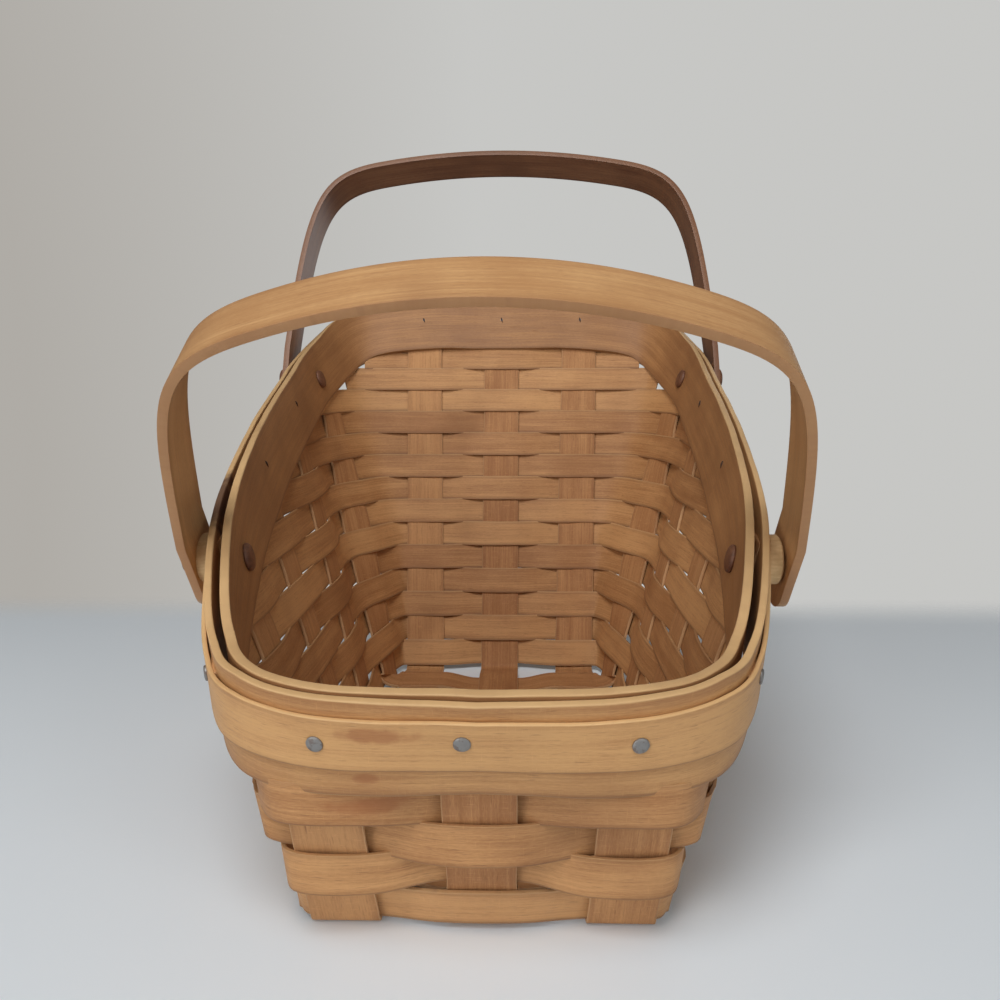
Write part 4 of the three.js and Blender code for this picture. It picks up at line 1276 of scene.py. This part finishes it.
block_model = turned_piece(
    "spacer_model",
    [
        (SPACER_RADIUS * 0.97, -1.4 * MM),
        (SPACER_RADIUS, 0.5 * MM),
        (SPACER_RADIUS, BLOCK_LENGTH - BLOCK_BEVEL),
        (SPACER_RADIUS - BLOCK_BEVEL, BLOCK_LENGTH),
        (PEG_RADIUS, BLOCK_LENGTH),
    ],
    32,
)
cap_model = turned_piece(
    "cap_model",
    [
        (PEG_RADIUS, 0),
        (CAP_RADIUS * 0.96, 0),
        (CAP_RADIUS, CAP_THICKNESS * 0.2),
        (CAP_RADIUS, CAP_THICKNESS * 0.5),
        (CAP_RADIUS * 0.9, CAP_THICKNESS * 0.8),
        (CAP_RADIUS * 0.7, CAP_THICKNESS),
        (PEG_RADIUS * 1.02, CAP_THICKNESS * 1.05),
    ],
    32,
)


def fit_peg(handle, name, side):
    """One pivot of a handle: the peg with its head and pin, the spacer and the cap."""
    at, axis, section, face = pivot_of(handle, side)
    start = handle.replace("_handle", "")
    square = section[2].dot(axis)
    outer_face = face + axis * (STRAP_THICKNESS + FIT)

    seat = at + axis * (INNER_FACE + drawn_in(section, "inner")) / square
    length = (outer_face - seat).dot(axis) + CAP_THICKNESS
    peg = copy_of(head_model, f"{start}_peg_{name}_turned")
    stand(peg, seat, -section[2])
    pin = copy_of(pin_model, f"{start}_pin_{name}")
    draw_out(pin, PIN_LENGTH, length)
    stand(pin, seat, axis)
    join(peg, pin)
    set_piece(peg, peg_wood, "basket", f"{start}_peg_{name}")

    foot = at + axis * (TRIM_FACE - drawn_in(section, "trim")) / square
    block = copy_of(block_model, f"{start}_spacer_{name}_block")
    draw_out(block, BLOCK_LENGTH, (face - foot).length - FIT)
    stand(block, foot, axis)
    set_piece(block, spacer_wood, "basket", f"{start}_spacer_{name}")

    cap = copy_of(cap_model, f"{start}_cap_{name}_turned")
    stand(cap, outer_face, axis)
    set_piece(cap, peg_wood, "basket", f"{start}_cap_{name}")


for handle in ("front_handle", "rear_handle"):
    fit_peg(handle, "right", 1)
    fit_peg(handle, "left", -1)
for model in (head_model, pin_model, block_model, cap_model):
    bpy.data.objects.remove(model)


# Studio: a plain pale floor that fades out behind the basket, a soft key light above the camera,
# weaker ones from both sides and from behind, and the camera where the photograph was taken from.

FLOOR_SIZE = 2.4
FLOOR_DROP = 0.05 * MM
BACK_FADE = (0.24, 0.33)  # from where to where the floor fades out towards the wall behind
EDGE_FADE = (0.63, 1.05)  # and on every side, away from its middle
WALL_SHADE = (-0.5, -0.05)  # painted shade darkens the wall on the left, by how far to the right a view looks
AMBIENT = 0.2  # how much of the wall's brightness lights the basket
IMAGE_SIZE = 1000
FOCAL_PIXELS = 850
SENSOR_WIDTH = 36
CAMERA_PLACE = Vector((12.718, -425.183, 203.126)) * MM
CAMERA_YAW = -0.0217
CAMERA_PITCH = 0.150
CAMERA_ROLL = -0.001

bpy.ops.object.select_all(action="DESELECT")
bpy.ops.mesh.primitive_plane_add(size=FLOOR_SIZE, location=(0, 0, 0))
floor = bpy.context.object
floor.name = "floor"
floor.data.transform(Matrix.Translation(UP * -FLOOR_DROP))
floor_finish = Finish("pale floor")
where = floor_finish.add("ShaderNodeTexCoord", {}, {}, "Object")
back = floor_finish.add("ShaderNodeSeparateXYZ", {}, {0: where}, "Y")
away = floor_finish.add("ShaderNodeVectorMath", {"operation": "LENGTH"}, {0: where}, "Value")
cloud = floor_finish.noise(where, 3, 1)
paper = floor_finish.blend(cloud, (0.77, 0.825, 0.87, 1), (0.8, 0.855, 0.9, 1))
floor_finish.give(Base_Color=paper, Roughness=0.8)
shown = Wire(floor_finish, floor_finish.shader.outputs[0])
clear = floor_finish.add("ShaderNodeBsdfTransparent", {}, {})
fade = 1 - (1 - floor_finish.rise(back, *BACK_FADE)) * (1 - floor_finish.rise(away, *EDGE_FADE))
mixed = floor_finish.add("ShaderNodeMixShader", {}, {0: fade, 1: shown, 2: clear})
floor_finish.put(floor_finish.tree.nodes["Material Output"].inputs[0], mixed)
floor.data.materials.append(floor_finish.material)


class Backdrop(Finish):
    """The wall of the studio: the world, whose nodes are added as a material's are."""

    def __init__(self, name):
        self.world = bpy.data.worlds.new(name)
        self.world.use_nodes = True
        self.tree = self.world.node_tree
        self.shader = self.tree.nodes["Background"]


wall = Backdrop("studio")
bpy.context.scene.world = wall.world
look = wall.add("ShaderNodeTexCoord", {}, {}, "Generated")
to_right = wall.add("ShaderNodeSeparateXYZ", {}, {0: look}, "X")
share = wall.add("ShaderNodeMapRange", {}, {0: to_right, 1: WALL_SHADE[0], 2: WALL_SHADE[1]})
seen = wall.add("ShaderNodeLightPath", {}, {}, "Is Camera Ray")
# The wall runs from painted shade on the left to its lit tone on the right.
wall.give(
    Color=wall.blend(share, (0.43, 0.41, 0.38, 1), (0.57, 0.57, 0.555, 1)),
    Strength=seen * (1 - AMBIENT) + AMBIENT,
)


def soft_light(name, at, aim, size, power):
    bpy.ops.object.light_add(type="AREA", location=at)
    light = bpy.context.object
    light.name = name
    light.data.shape = "DISK"
    light.data.size = size
    light.data.energy = power
    light.rotation_euler = (Vector(aim) - Vector(at)).to_track_quat("-Z", "Y").to_euler()


soft_light("key", (-0.2, -0.85, 1.35), (0, 0, 0.1), 0.9, 13)
soft_light("low right", (1.0, -1.15, 0.6), (0, 0, 0.08), 0.7, 3.8)
soft_light("low left", (-0.95, -1.3, 0.55), (0, 0, 0.08), 0.8, 8.4)
soft_light("behind", (0.5, 1.5, 0.55), (0, 0.1, 0.12), 0.9, 2)

bpy.ops.object.camera_add()
camera = bpy.context.object
ahead = Vector((
    math.sin(CAMERA_YAW) * math.cos(CAMERA_PITCH),
    math.cos(CAMERA_YAW) * math.cos(CAMERA_PITCH),
    -math.sin(CAMERA_PITCH),
))
level = Vector((math.cos(CAMERA_YAW), -math.sin(CAMERA_YAW), 0))
upright_way = level.cross(ahead)
right_way = level * math.cos(CAMERA_ROLL) + upright_way * math.sin(CAMERA_ROLL)
top_way = upright_way * math.cos(CAMERA_ROLL) - level * math.sin(CAMERA_ROLL)
facing = Matrix((right_way, top_way, -ahead)).transposed().to_4x4()
camera.matrix_world = Matrix.Translation(CAMERA_PLACE) @ facing
camera.data.sensor_width = SENSOR_WIDTH
camera.data.lens = SENSOR_WIDTH * FOCAL_PIXELS / IMAGE_SIZE
camera.data.clip_start = 0.01
bpy.context.scene.camera = camera
bpy.context.scene.view_settings.view_transform = "Standard"
